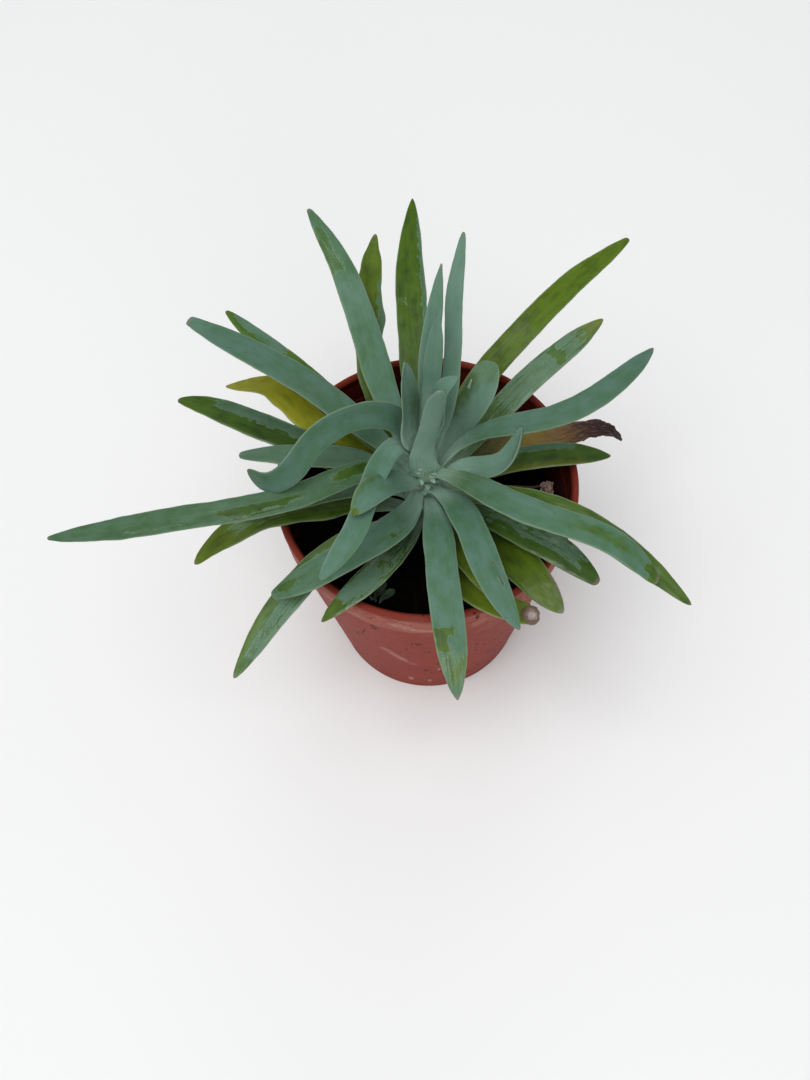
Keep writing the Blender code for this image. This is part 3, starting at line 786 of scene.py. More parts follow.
# %% Looks at the right and at the tip
LOOKS |= {
    "leaf_right_broad": Look(
        bloom=0.0, olive=0.1, shade=0.2, gloss=0.45, marble=0.1, haze=0.02, tip=0.8, patches=(
        Patch("shade", 1.0, 0.0, 0.5, blur=0.2),
        Patch("tip", 0.8, 0.78, 1.0, -1.3, -0.8),
    )),
    "leaf_right_wet": Look(
        bloom=0.52, film=0.7, marble=0.8, gloss=1.0, shade=0.5, haze=0.1, tip=0.9, patches=(
        Patch("bloom", -0.6, 0.4, 1.0, 0.35),
        Patch("bloom", -0.4, 0.9, 1.0),
    )),
    "leaf_right_long": Look(bloom=0.95, film=0.82, haze=0.15, tip=0.8, patches=(
        Patch("film", -0.3, 0.0, 0.3, blur=0.15),
        Patch("film", -0.55, 0.64, 0.9, -0.4, 0.2, 0.08, 0.35),
        Patch("bloom", -0.95, 0.94, 1.0, blur=0.02),
        Patch("shade", 0.3, 0.0, 0.55, blur=0.25),
    )),
    "leaf_right_long_low": Look(
        bloom=0.15, film=0.5, marble=0.4, olive=0.05, gloss=0.4, shade=0.2, tip=0.6, haze=0.15,
    ),
    "leaf_right_green": Look(
        bloom=0.08, film=0.6, marble=0.35, gloss=0.5, shade=0.6, haze=0.04, patches=(
        Patch("bloom", 0.8, 0.42, 0.8, -1.3, -0.4),
        Patch("olive", 0.5, 0.3, 0.85, 0.6),
    )),
    "leaf_withered": Look(bloom=0.3, film=0.3, marble=0.9, tip=0.0, channel=0.5),
    "leaf_cupped": Look(film=0.97, pale=0.55, tip=0.3, cup=0.3),
    "leaf_rear_right": Look(film=0.93, shade=0.4, tip=0.9),
    "leaf_spoon": Look(film=0.97, pale=0.5, tip=0.2, cup=0.12, patches=(
        Patch("film", -0.6, 0.2, 0.86, -1.3, -0.35, 0.08, 0.45),
        Patch("olive", 0.15, 0.2, 0.9, -1.3, -0.3, 0.06, 0.3),
        Patch("shade", 0.55, 0.2, 0.86, -1.3, -0.3, 0.06, 0.4),
        Patch("film", -0.35, 0.84, 1.0),
        Patch("marble", 0.5, 0.84, 1.0),
    )),
    "leaf_back_right_long": Look(bloom=0.05, film=0.5, marble=0.25, olive=0.1, gloss=0.15, haze=0.04),
    "leaf_back_right": Look(
        bloom=0.6, film=0.66, marble=0.45, gloss=0.9, shade=0.1, pale=0.5, haze=0.3, patches=(
        Patch("bloom", -1.2, 0.715, 0.755, -0.7, 0.7, 0.008),
        Patch("bloom", -0.25, 0.0, 0.45, blur=0.1),
        Patch("bloom", -0.6, 0.88, 1.0, blur=0.06),
        Patch("olive", 0.4, 0.9, 1.0, blur=0.06),
    )),
    "leaf_crown_right": Look(film=0.95, pale=0.45, tip=0.6),
    "young_back": Look(film=0.93, pale=0.3, tip=0.9),
    "young_back_inner": Look(film=0.95, pale=0.3),
    "young_left": Look(film=0.95, pale=0.4, tip=0.3, channel=0.75, cup=0.25, patches=(
        Patch("film", -0.35, 0.2, 0.75, 0.15, 1.3, 0.15, 0.4),
        Patch("shade", 0.75, 0.2, 0.75, 0.1, 1.3, 0.15, 0.4),
    )),
    "young_front": Look(film=0.97, pale=0.9, base=32.0, tip=0.4, channel=0.15),
    "young_right": Look(film=0.95, pale=0.3, base=16.0, tip=0.3),
}
print("looks with those at the right and at the tip:", len(LOOKS))

# %% [markdown]
# ## The leaf tree
#
# A leaf is a loft: one cross section, swept along a bent spine while its width, its thickness
# and its lean change. Python works the spine out and stores on each of its points which way is
# across the leaf, which way is up, and how wide and thick it is there. The tree then sweeps a
# circle along it and moves each point of the circle to its place in the section:
#
# * across the leaf it goes to the cosine of its turn, so the points crowd at the margins, where
#   the section is round and tight;
# * upwards, the upper half is a low dome less a narrower one, which leaves a shallow channel
#   between two soft shoulders, and the lower half is a rounded keel.
#
# Last comes a very low ripple along the normal, because a real leaf is never drawn with a ruler.

# %% Leaf tree
SECTION_FLOOR = 0.22
SECTION_KEEL = 0.64
SECTION_KEEL_BLUNTNESS = 1.3
CHANNEL_NARROWNESS = 4.0
CUP_NARROWING = 0.4
FINE_RIPPLE = 0.25


def leaf_tree():
    sizes = {"Sides": "Int", "Ripple height": "Float", "Ripple size": "Float", "Skin": "Material"}
    graph, given = geometry_graph("Fleshy leaf", sizes)
    rail = graph.node("GeometryNodeMeshToCurve", None, {"Mesh": given["Geometry"]})
    ring = ring_curve(graph, given["Sides"])
    ring = store(graph, ring, "turn", graph.node("GeometryNodeSplineParameter"))
    skin = swept(graph, rail, ring)
    turn = stored(graph, "turn") * (2 * math.pi)
    sideways = graph.math("COSINE", turn)
    height = graph.math("SINE", turn)
    above = graph.math("MAXIMUM", height, 0.0)
    below = graph.math("MAXIMUM", 0.0 - height, 0.0)
    channel = stored(graph, "channel")
    dome = above * (channel + SECTION_FLOOR) - channel * above**CHANNEL_NARROWNESS
    lift = dome - SECTION_KEEL * below**SECTION_KEEL_BLUNTNESS
    half = stored(graph, "half")
    cup = stored(graph, "cup") * sideways * sideways
    width_mm = sideways * half * (1.0 - CUP_NARROWING * cup)
    height_mm = lift * stored(graph, "thick") + cup * half
    place = graph.vector(
        "ADD",
        stored(graph, "spine", "FLOAT_VECTOR"),
        graph.vector(
            "ADD",
            graph.scaled(stored(graph, "across", "FLOAT_VECTOR"), width_mm),
            graph.scaled(stored(graph, "up", "FLOAT_VECTOR"), height_mm),
        ),
    )
    shaped = put(graph, skin, "Position", graph.scaled(place, MM))
    local = graph.xyz(width_mm, height_mm, stored(graph, "along"))
    station = graph.xyz(stored(graph, "share"), sideways, height)
    marked = store(graph, shaped, "leaf_mm", local, "FLOAT_VECTOR")
    marked = store(graph, marked, "station", station, "FLOAT_VECTOR")
    leaf_mm = stored(graph, "leaf_mm", "FLOAT_VECTOR")
    fine = graph.noise(leaf_mm, (1.0, 1.0, 0.6))
    size = given["Ripple size"]
    coarse = graph.node("ShaderNodeTexNoise", None, {"Vector": leaf_mm, "Scale": size, "Detail": 1.0})
    folds = graph.noise(leaf_mm, (0.9, 0.9, 0.2), 4.0, 0.65, 0.5)
    middle = 0.5 * (1 + FINE_RIPPLE)
    offset = (coarse + FINE_RIPPLE * fine - middle) * given["Ripple height"] * stored(graph, "play")
    offset = offset + (folds - 0.5) * 2.0 * stored(graph, "wrinkle")
    normal = graph.node("GeometryNodeInputNormal")
    moved = put(graph, marked, "Offset", graph.scaled(normal, offset * MM))
    closed = graph.node("GeometryNodeMergeByDistance", None, {"Geometry": moved, "Distance": 0.01 * MM})
    return end_tree(graph, closed, given["Skin"])


LEAF_TREE = leaf_tree()
print("leaf tree:", len(LEAF_TREE.nodes), "nodes")

# %% [markdown]
# ## A leaf's spine
#
# The width of a leaf eases in from its neck, stays, and narrows to its tip. Slow random waves
# make the width, the thickness and the line of the leaf a little uneven, each leaf in its own
# way. Its root needs the stem's radius at its height.

# %% Widths and waves
STEM_FOOT_RADIUS = 5.4
STEM_TOP_RADIUS = 4.2
STEM_FOOT = 50.0
STEM_TOP = 125.5
CROWN_TOP = 149.0
CROWN_TIP_RADIUS = 1.0
LEAF_SEAT = 0.5
ROOT_SINK = 1.4
YOUNG_ROOT_DEPTH = 0.55
STATION_SPACING = 0.6
SECTION_SIDES = 36
TIP_ROUNDING = 0.7
LEAST_WIDTH = 0.9
FULLNESS = 1.06
LEAST_THICKNESS = 0.8
ROOT_FLARE_LENGTH = 3.5
ROOT_WIDENING = 0.35
ROOT_THICKENING = 0.4
TIP_THINNING = 0.35
TIP_STATIONS = 7
PATTERN_STEP = 400.0
PLAY_START = 4.0
Wave = namedtuple("Wave", "depth wavy_depth size calm seed")
WIDTH_WAVE = Wave(0.05, 0.2, 8.0, 10.0, 0)
THICKNESS_WAVE = Wave(0.12, 0.0, 12.0, 0.0, 50)
LINE_WAVE = Wave(0.35, 1.2, 17.0, 15.0, 90)
SPINE_MARKS = ("spine", "across", "up", "half", "thick", "channel", "cup", "along", "play", "share")


def stem_radius(height):
    """Radius of the stem, and of the growing tip above it."""
    if height <= STEM_TOP:
        share = (height - STEM_FOOT) / (STEM_TOP - STEM_FOOT)
        return STEM_FOOT_RADIUS + share * (STEM_TOP_RADIUS - STEM_FOOT_RADIUS)
    share = (height - STEM_TOP) / (CROWN_TOP - STEM_TOP)
    return STEM_TOP_RADIUS + share * (CROWN_TIP_RADIUS - STEM_TOP_RADIUS)


def width_share(leaf, t):
    """Share of the leaf's full width at share t of its length."""
    share = 1.0
    if t < leaf.full:
        ease = t / leaf.full
        share = leaf.neck + (1 - leaf.neck) * ease * ease * (3 - 2 * ease)
    if t > leaf.taper:
        narrowing = max(1 - ((t - leaf.taper) / (1 - leaf.taper)) ** leaf.point, 0.0)
        share *= leaf.end + (1 - leaf.end) * narrowing**0.75
    return share


def waved(wave, look, along, seed):
    """A slow random wave along a leaf, deeper on a wavy one and calm next to the root."""
    depth = wave.depth + wave.wavy_depth * look.wavy
    calmed = min(1.0, along / wave.calm) if wave.calm else 1.0
    return depth * wobble(along, wave.size, seed + wave.seed) * calmed


print("stem:", round(2 * stem_radius(100.0), 1), "mm thick under the leaves")

# %% [markdown]
# The stations along a leaf are a little over half a millimetre apart, and closer at the tip,
# which is rounded off over its last 0.7 mm. The first stations stand inside the stem and flare,
# so that the leaf clasps it and leaves no gap. A leaf's own coordinates start at another place
# for each leaf, so that no two show the same streaks.

# %% Spines
def leaf_spine(leaf, root_reach, sink, look, seed):
    """A leaf's spine as a mesh of edges, with what its tree needs stored on each point."""
    heading, root_height = leaf.root
    points = [polar(heading, root_reach, root_height)] + [polar(*point) for point in leaf.path]
    length = sum(np.linalg.norm(b - a) for a, b in zip(points, points[1:]))
    even = np.linspace(0.0, 1.0, int(length / STATION_SPACING))
    tip = 1 - TIP_ROUNDING / length * (1 - np.sin(np.linspace(0.0, math.pi / 2, TIP_STATIONS)))
    shares = np.concatenate((even[even < tip[0] - 0.3 / length], tip))
    path = spline(points, shares)
    ahead = np.gradient(path, shares, axis=0)
    ahead[0] = polar(heading, 1.0, 0.0)
    if sink:
        path = np.vstack((path[0] - sink * ahead[0], path))
        ahead = np.vstack((ahead[0], ahead))
        shares = np.concatenate(([0.0], shares))
    ahead /= np.linalg.norm(ahead, axis=1)[:, None]
    side = polar(heading - 90, 1.0, 0.0)
    rows = []
    for place, forward, t in zip(path, ahead, shares):
        side = side - forward * side.dot(forward)
        side /= np.linalg.norm(side)
        face = np.cross(side, forward)
        turn = math.radians(leaf.twist * t)
        across = math.cos(turn) * side + math.sin(turn) * face
        up = math.cos(turn) * face - math.sin(turn) * side
        along = t * length
        share = width_share(leaf, t)
        uneven = 1 + waved(WIDTH_WAVE, look, along, seed)
        flare = max(1 - along / ROOT_FLARE_LENGTH, 0.0) ** 2
        half = max(leaf.width * share * uneven * FULLNESS, LEAST_WIDTH) / 2 * (1 + ROOT_WIDENING * flare)
        thick = leaf.thick * (1 - TIP_THINNING * t) * min(1.0, 1.05 * math.sqrt(share))
        thick = max(thick * (1 + waved(THICKNESS_WAVE, look, along, seed)), LEAST_THICKNESS)
        thick *= 1 + ROOT_THICKENING * flare
        left = (1 - t) * length / TIP_ROUNDING
        closing = math.sqrt(max(1 - (1 - min(left, 1.0)) ** 2, 0.0))
        drift = waved(LINE_WAVE, look, along, seed)
        rows.append((
            place + across * drift, across, up, half * closing, thick * closing,
            look.channel * (1 - 0.5 * t), look.cup * min(t, 0.5) * 2,
            along + PATTERN_STEP * seed, min(1.0, along / PLAY_START) * closing, t,
        ))
    mesh = line_mesh(leaf.name, path)
    for key, column in zip(SPINE_MARKS, zip(*rows)):
        write_marks(mesh, key, np.array(column))
    write_marks(mesh, "wrinkle", np.zeros(len(path)))
    return mesh, length


print("spine marks:", ", ".join(SPINE_MARKS))

# %% [markdown]
# ## Painting a leaf
#
# Once a leaf is a plain mesh, every vertex knows its station: how far along the leaf it is and
# how far across. The look's numbers and patches become soft masks there, stored as attributes,
# and the material reads them. Their borders waver, as wax never comes off along a straight line.
# The patches are laid on the upper face and fade on the lower one, which fingers and rain reach
# less. Every leaf also gets its pale root, partly its own bleached colour and partly painted light
# for the shaded middle of the plant, its dry margins and the torn husk at its foot.

# %% Painting
MARKS = ("bloom", "film", "marble", "olive", "gloss", "shade", "tip", "haze", "pale")
UNDERSIDE_SHARE = 0.35
WAVER_LENGTH = 3.0
WAVER_WIDTH = 0.22
WAVER_SIZES = (3.2, 1.1, 2.3)
ELSEWHERE = Vector((31.0, 17.0, 5.0))
TIP_LENGTH = 2.8
ROOT_PALE_START = 0.0
HUSK_START = 1.5
HUSK_STOP = 6.0


def patch_mask(patch, along, across, above):
    """How strongly a patch covers each point of a leaf."""
    begun = 1 if patch.start <= 0 else ramp(along, patch.start - patch.blur, patch.start + patch.blur)
    ended = 0 if patch.stop >= 1 else ramp(along, patch.stop - patch.blur, patch.stop + patch.blur)
    sideways = ramp(across, patch.left - patch.side, patch.left + patch.side)
    sideways = sideways * (1 - ramp(across, patch.right - patch.side, patch.right + patch.side))
    reach = UNDERSIDE_SHARE + (1 - UNDERSIDE_SHARE) * ramp(above, -0.6, 0.0)
    return begun * (1 - ended) * sideways * reach


def paint_leaf(mesh, look, length):
    along, across, above = read_marks(mesh, "station", 3).T
    spots = [Vector(spot) for spot in read_marks(mesh, "leaf_mm", 3)]
    broad, fine, wide = WAVER_SIZES
    broad_waver = np.array([noise.noise(spot / broad) for spot in spots])
    fine_waver = np.array([noise.noise(spot / fine) for spot in spots])
    wide_waver = np.array([noise.noise(spot / wide + ELSEWHERE) for spot in spots])
    rough_along = along + (WAVER_LENGTH * broad_waver + 0.35 * WAVER_LENGTH * fine_waver) / length
    rough_across = across + WAVER_WIDTH * wide_waver + 0.3 * WAVER_WIDTH * fine_waver
    layers = {mark: np.full(len(along), getattr(look, mark)) for mark in MARKS}
    layers["tip"] = look.tip * ramp(along, 1 - TIP_LENGTH / length, 1.0)
    for patch in look.patches:
        mask = patch_mask(patch, rough_along, rough_across, above)
        layers[patch.mark] = layers[patch.mark] + patch.amount * mask
    # The pale root is its own colour, brightened as painted light for the shaded middle of the plant.
    layers["root"] = 1 - ramp(along * length, ROOT_PALE_START, look.base)
    layers["margin"] = ramp(np.abs(across), 0.9, 0.985) * ramp(along * length, 4.0, 12.0)
    torn = ramp(np.abs(across) + 0.6 * fine_waver, 0.8, 1.0)
    layers["husk"] = torn * (1 - ramp(along * length, HUSK_START, HUSK_STOP))
    for mark, values in layers.items():
        write_marks(mesh, mark, np.clip(values, 0.0, 1.0))
    drop_marks(mesh, [*SPINE_MARKS, "wrinkle", "turn", "station"])


print("marks:", ", ".join(MARKS))

# %% [markdown]
# ## A small kit for materials
#
# Each material here ends in one Principled shader. Its colours, its roughness and its relief come
# from noise at the point's own place in millimetres, and from the marks that the mesh carries.

# %% Material kit
def new_material(name):
    """An empty material and the graph that fills it."""
    material = bpy.data.materials.new(name)
    material.use_nodes = True
    material.node_tree.nodes.clear()
    return material, Graph(material.node_tree)


def painted(graph, name, output="Fac"):
    """What a point attribute of the mesh holds, for a material."""
    return graph.node("ShaderNodeAttribute", {"attribute_name": name}, None, output)


def place_mm(graph):
    """Where a point of the piece is, in mm."""
    return graph.scaled(graph.node("ShaderNodeTexCoord", None, None, "Object"), 1 / MM)


def height_of(graph, place):
    return graph.node("ShaderNodeSeparateXYZ", None, {"Vector": place}, "Z")


def surface(graph, feeds):
    """Ends a material with one shader."""
    shader = graph.node("ShaderNodeBsdfPrincipled", None, feeds)
    graph.node("ShaderNodeOutputMaterial", None, {"Surface": shader})


def bumped(graph, height, distance):
    """A normal that follows a height between 0 and 1, which stands for that distance."""
    return graph.node("ShaderNodeBump", None, {"Height": height, "Distance": distance})


print("material kit ready")

# %% [markdown]
# ## The skin
#
# The colours are those of the photograph's leaves in plain light: a deep and a bright green for
# the flesh, an olive that older leaves turn to, and a greener and a bluer wax. Streaks run along
# the leaf, because its cells do. Wax that is coming off leaves pale flakes along its border, and
# small dark specks show through it. The margins, the root, the husk and the tip are laid over
# that, and cork last. The wax is matt and the bare flesh is not, so the same mask that mixes the
# colours sets the roughness, and a thin clear coat is added where water still lies.

# %% Leaf skin
DEEP_GREEN = (0.024, 0.058, 0.005)
BRIGHT_GREEN = (0.074, 0.15, 0.007)
OLIVE = (0.31, 0.3, 0.012)
BLACK_GREEN = (0.012, 0.03, 0.008)
WAX_GREEN = (0.086, 0.19, 0.108)
WAX_BLUE = (0.112, 0.217, 0.168)
# Paler wax, partly painted light for the leaves in the shaded middle of the plant.
PALE_WAX_AND_PAINTED_LIGHT = (0.17, 0.28, 0.215)
# Pale leaf roots, made brighter as painted light where the crown is in shade.
PALE_ROOT_AND_PAINTED_LIGHT = (0.46, 0.66, 0.53)
FLAKE_PALE = (0.3, 0.42, 0.34)
HUSK_WHITE = (0.34, 0.46, 0.37)
MARGIN_PALE = (0.33, 0.41, 0.27)
TIP_BROWN = (0.26, 0.2, 0.17)
CORK_BROWN = (0.15, 0.1, 0.068)
CORK_PALE = (0.4, 0.33, 0.31)
SKIN_RELIEF = 0.0002
SPECK_DENSITY = 0.3


def leaf_skin():
    material, graph = new_material("leaf skin")
    place = painted(graph, "leaf_mm", "Vector")
    streaks = graph.noise(place, (1.5, 1.5, 0.07), 3.0, 0.6)
    veins = graph.noise(place, (4.5, 4.5, 0.12), 2.0)
    patches = graph.noise(place, (0.22, 0.22, 0.12), 3.0, 0.6)
    blots = graph.noise(place, (0.55, 0.55, 0.2), 4.0, 0.68, 0.5)
    dust = graph.noise(place, (6.0, 6.0, 3.5), 3.0, 0.7)

    # Where wax is left, and how thick it is.
    marble = painted(graph, "marble")
    cover = painted(graph, "bloom") + (blots - 0.5) * marble * 2.0 + (streaks - 0.5) * (0.5 + 0.2 * marble)
    cover = graph.smooth(cover + (dust - 0.5) * 0.2, 0.33, 0.7)
    density = painted(graph, "film") + (patches - 0.5) * 0.22 + (streaks - 0.5) * 0.05 + (dust - 0.5) * 0.12
    haze = painted(graph, "haze") * (0.6 + 0.8 * (patches - 0.5) + 0.5 * (streaks - 0.5))
    film = cover * graph.smooth(density, 0.0, 1.05) + (1.0 - cover) * haze

    # The flesh, the wax over it, and the flakes and specks.
    lively = graph.smooth(patches * 0.8 + streaks * 0.2 + (veins - 0.5) * 0.1, 0.22, 0.6)
    green = graph.mix(DEEP_GREEN, BRIGHT_GREEN, lively)
    flesh = graph.mix(green, OLIVE, painted(graph, "olive") * (0.88 + 1.5 * (patches - 0.5)))
    shade = painted(graph, "shade")
    flesh = graph.mix(flesh, BLACK_GREEN, shade * 0.75)
    wax = graph.mix(WAX_GREEN, WAX_BLUE, graph.smooth(patches + (streaks - 0.5) * 0.15, 0.3, 0.7))
    # Paler wax: the young leaves' mealy wax, and painted light on the leaves in the shaded middle.
    wax = graph.mix(wax, PALE_WAX_AND_PAINTED_LIGHT, painted(graph, "pale"))
    wax = graph.scaled(wax, 1.0 - shade * 0.45)
    colour = graph.mix(flesh, wax, film)
    edge = cover * (1.0 - cover) * 4.0
    flakes = edge * graph.smooth(dust * 0.7 + streaks * 0.3, 0.47, 0.58)
    colour = graph.mix(colour, FLAKE_PALE, flakes * 0.38)
    cells = graph.node("ShaderNodeTexVoronoi", None, {"Vector": place, "Scale": SPECK_DENSITY})
    specks = (1.0 - graph.smooth(cells, 0.04, 0.1)) * graph.smooth(patches, 0.46, 0.56)
    colour = graph.mix(colour, BLACK_GREEN, specks * 0.55)

    # Margin, root, husk, tip, and the cork of healed wounds. The root's pale colour is partly painted light.
    colour = graph.mix(colour, MARGIN_PALE, painted(graph, "margin") * 0.42)
    colour = graph.mix(colour, PALE_ROOT_AND_PAINTED_LIGHT, painted(graph, "root") * (0.35 + 0.8 * streaks))
    husk = graph.smooth(painted(graph, "husk") + (streaks - 0.5) * 0.5, 0.3, 0.8)
    colour = graph.mix(colour, HUSK_WHITE, husk * 0.8)
    tip = graph.smooth(painted(graph, "tip") + (dust - 0.5) * 0.3, 0.15, 0.95)
    colour = graph.mix(colour, TIP_BROWN, tip * 0.65)
    bare_streaks = (0.12 - 0.07 * cover) * (graph.smooth(streaks, 0.3, 0.7) - 0.5)
    grain = 0.92 + 0.14 * (graph.smooth(dust, 0.25, 0.75) - 0.5) + bare_streaks
    colour = graph.scaled(colour, grain)
    cork = painted(graph, "cork")
    colour = graph.mix(colour, CORK_BROWN, graph.smooth(cork, 0.1, 0.4))
    ribs = (dust - 0.5) * 0.6 + (streaks - 0.5) * 0.8
    colour = graph.mix(colour, CORK_PALE, graph.smooth(cork + ribs, 0.6, 1.0))

    # Wet shine and fine relief.
    gloss = painted(graph, "gloss")
    wet = gloss * graph.smooth(blots, 0.35, 0.6)
    height = veins * 0.15 + streaks * 0.25 + dust * 0.25 + patches * 0.6
    surface(graph, {
        "Base Color": colour,
        "Roughness": 0.36 + 0.2 * cover - 0.1 * gloss + (dust - 0.5) * 0.1,
        "Coat Weight": wet * (1.0 - 0.4 * cover) * 0.6,
        "Coat Roughness": 0.16,
        "Specular IOR Level": 0.12,
        "Normal": bumped(graph, height, SKIN_RELIEF),
    })
    return material


LEAF_SKIN = leaf_skin()
print("leaf skin:", len(LEAF_SKIN.node_tree.nodes), "nodes")

# %% [markdown]
# ## The withered leaf
#
# One old leaf at the right is dying from its tip. Near the stem it is still olive, further out
# it goes mustard and rust, and the last third has shrivelled to a dark brown hook. Its colour is
# a ramp along its length, broken up by streaks, and the wax that is left on it shows as a
# greyish, mottled film. Over the dry part lie pale pinkish streaks, partly the dead skin's own
# colour and partly painted highlights.

# %% Withered skin
WITHER_STOPS = (
    (0.0, (0.05, 0.07, 0.025)),
    (0.36, (0.13, 0.12, 0.035)),
    (0.54, (0.26, 0.185, 0.036)),
    (0.68, (0.19, 0.1, 0.036)),
    (0.78, (0.045, 0.016, 0.012)),
    (1.0, (0.02, 0.008, 0.008)),
)
# Pale pinkish streaks, partly the dead skin's colour and partly painted highlights.
WITHER_PALE_AND_HIGHLIGHT = (0.36, 0.24, 0.18)
WITHER_FILM = (0.17, 0.2, 0.12)
WITHER_RELIEF = 0.001


def withered_skin():
    material, graph = new_material("withered leaf skin")
    place = painted(graph, "leaf_mm", "Vector")
    streaks = graph.noise(place, (2.0, 2.0, 0.09), 4.0, 0.65)
    fibres = graph.noise(place, (6.0, 6.0, 0.25), 3.0, 0.6)
    blots = graph.noise(place, (0.9, 0.9, 0.4), 4.0, 0.7, 0.6)
    dry = painted(graph, "dry")
    age = dry + (streaks - 0.5) * 0.34 + (blots - 0.5) * 0.3
    colour = graph.node("ShaderNodeValToRGB", {"stops": WITHER_STOPS}, {"Fac": age})
    fresh = 1.0 - graph.smooth(dry, 0.3, 0.55)
    colour = graph.mix(colour, WITHER_FILM, graph.smooth(blots, 0.5, 0.68) * fresh * 0.7)
    # Pale pinkish streaks on the dry part: the dead skin's colour, and painted highlights.
    pale = graph.smooth(fibres * 0.6 + blots * 0.4, 0.52, 0.66) * graph.smooth(dry, 0.45, 0.75)
    colour = graph.mix(colour, WITHER_PALE_AND_HIGHLIGHT, pale * (1.0 - graph.smooth(dry, 0.8, 1.0) * 0.6) * 0.75)
    surface(graph, {
        "Base Color": colour,
        "Roughness": 0.5 + 0.2 * blots,
        "Specular IOR Level": 0.35,
        "Normal": bumped(graph, streaks * 0.6 + fibres * 0.25 + blots * 0.3, WITHER_RELIEF),
    })
    return material


WITHERED_SKIN = withered_skin()
print("withered skin:", len(WITHERED_SKIN.node_tree.nodes), "nodes")

# %% [markdown]
# ## Making the leaves
#
# Each leaf takes the place of its solid, node by node, and is grown with its root sunk a little
# in the stem. The withered one gets deep folds towards its end, set on its spine before the tree
# runs.

# %% Large leaves
RIPPLE_HEIGHT = 0.32
RIPPLE_SIZE = 0.22
WRINKLE_START = 0.38
WRINKLE_FULL = 0.8
WRINKLE_FADE = 0.9
WRINKLE_HEIGHT = 2.3


def grow_leaf(leaf, seed, root_reach, sink, skin, look):
    mesh, length = leaf_spine(leaf, root_reach, sink, look, seed)
    obj = add_object(leaf.name + "_fine", mesh)
    if skin is WITHERED_SKIN:
        share = read_marks(mesh, "share")
        wrinkle = WRINKLE_HEIGHT * ramp(share, WRINKLE_START, WRINKLE_FULL)
        write_marks(mesh, "wrinkle", wrinkle * (1 - 0.5 * ramp(share, WRINKLE_FADE, 1.0)))
    run_tree(obj, LEAF_TREE, {
        "Sides": SECTION_SIDES, "Ripple height": RIPPLE_HEIGHT, "Ripple size": RIPPLE_SIZE, "Skin": skin,
    })
    point_outwards(obj)
    if skin is WITHERED_SKIN:
        write_marks(obj.data, "dry", read_marks(obj.data, "station", 3)[:, 0])
    paint_leaf(obj.data, look, length)
    return obj


SLOTS = {sub["node"]: sub["material_slot"] for sub in frame["record"]["subparts"]}
fine_leaves = {}
for number, leaf in enumerate(LEAVES):
    skin = WITHERED_SKIN if leaf.name == "leaf_withered" else LEAF_SKIN
    reach = stem_radius(leaf.root[1]) + LEAF_SEAT
    fine_leaves[leaf.name] = grow_leaf(leaf, number, reach, ROOT_SINK, skin, LOOKS[leaf.name])
print("leaf faces:", sum(len(obj.data.polygons) for obj in fine_leaves.values()))

# %% [markdown]
# ## Scraps
#
# Small torn and dried bits give the plant its age: a flap of skin that has come loose on the
# spoon-shaped leaf, ribbed stubs of leaves that fell off, a dormant bud, whitish shreds round
# the leaf bases, and a dead root across the soil. Each is a very small leaf, so the leaf tree
# makes them too, and each is joined to the piece that it grows from. husk and cork say how
# white or how corky it is, and reach how far from the pot's axis it starts.

# %% Scraps
Scrap = namedtuple("Scrap", "keeper husk cork reach leaf")
SCRAP_LOOK = Look(bloom=0.8, film=0.7, tip=0.0, marble=0.3)
STUB = {"neck": 0.9, "taper": 0.8}
SHRED = {"neck": 1.0, "thick": 1.2}
SCRAPS = (
    Scrap("leaf_spoon", 0.45, 0.0, 21.8, Leaf(
        "loose flap", 0.9, (47, 144), ((47.5, 22.6, 145.6), (48, 23.6, 147)), neck=1.0, thick=0.8, twist=60)),
    Scrap("stem", 0.35, 0.2, 3.5, Leaf(
        "stub left", 5.0, (214, 112), ((214, 6, 109), (214, 8.5, 104)), end=0.7, thick=3.4, **STUB)),
    Scrap("stem", 0.35, 0.0, 3.5, Leaf(
        "stub rear", 4.0, (163, 116), ((163, 6.5, 115.5), (162, 9, 114)), end=0.6, thick=3.0, **STUB)),
    Scrap("stem", 0.4, 0.2, 3.5, Leaf(
        "stub front", 4.4, (306, 110), ((306, 6.5, 108), (306, 10.5, 104)), end=0.6, thick=3.2, **STUB)),
    Scrap("stem", 0.25, 0.0, 3.0, Leaf(
        "bud", 4.0, (140, 121), ((138, 7, 123.5), (136, 10, 125)),
        neck=0.9, full=0.5, taper=0.7, end=0.5, thick=4.5)),
    Scrap("stem", 1.0, 0.0, 4.0, Leaf(
        "shred right", 1.9, (300, 121), ((300, 5.5, 122.5), (304, 7, 123.5)), twist=40, **SHRED)),
    Scrap("stem", 1.0, 0.0, 4.0, Leaf(
        "shred front right", 1.6, (290, 118), ((291, 6.5, 120), (292, 8, 120.5)), twist=-30, **SHRED)),
    Scrap("stem", 1.0, 0.0, 3.5, Leaf(
        "shred front left", 1.8, (250, 124), ((249, 5, 126), (246, 6.5, 126.5)), twist=30, **SHRED)),
    Scrap("stem", 0.9, 0.0, 5.0, Leaf(
        "shred front", 1.7, (272, 115), ((273, 7, 117.5), (274, 9, 118.5)), twist=20, **SHRED)),
    Scrap("soil", 0.0, 0.5, 30.0, Leaf(
        "dead root", 0.9, (22, 82.2), ((19, 36, 83.8), (16, 42, 83.6), (14, 46.5, 85.5)),
        neck=1.0, thick=1.0)),
)
# Scraps take half the pale root colour, which is partly painted light.
SCRAP_PALE_ROOT_AND_PAINTED_LIGHT = 0.5
SCRAP_SEEDS = 60


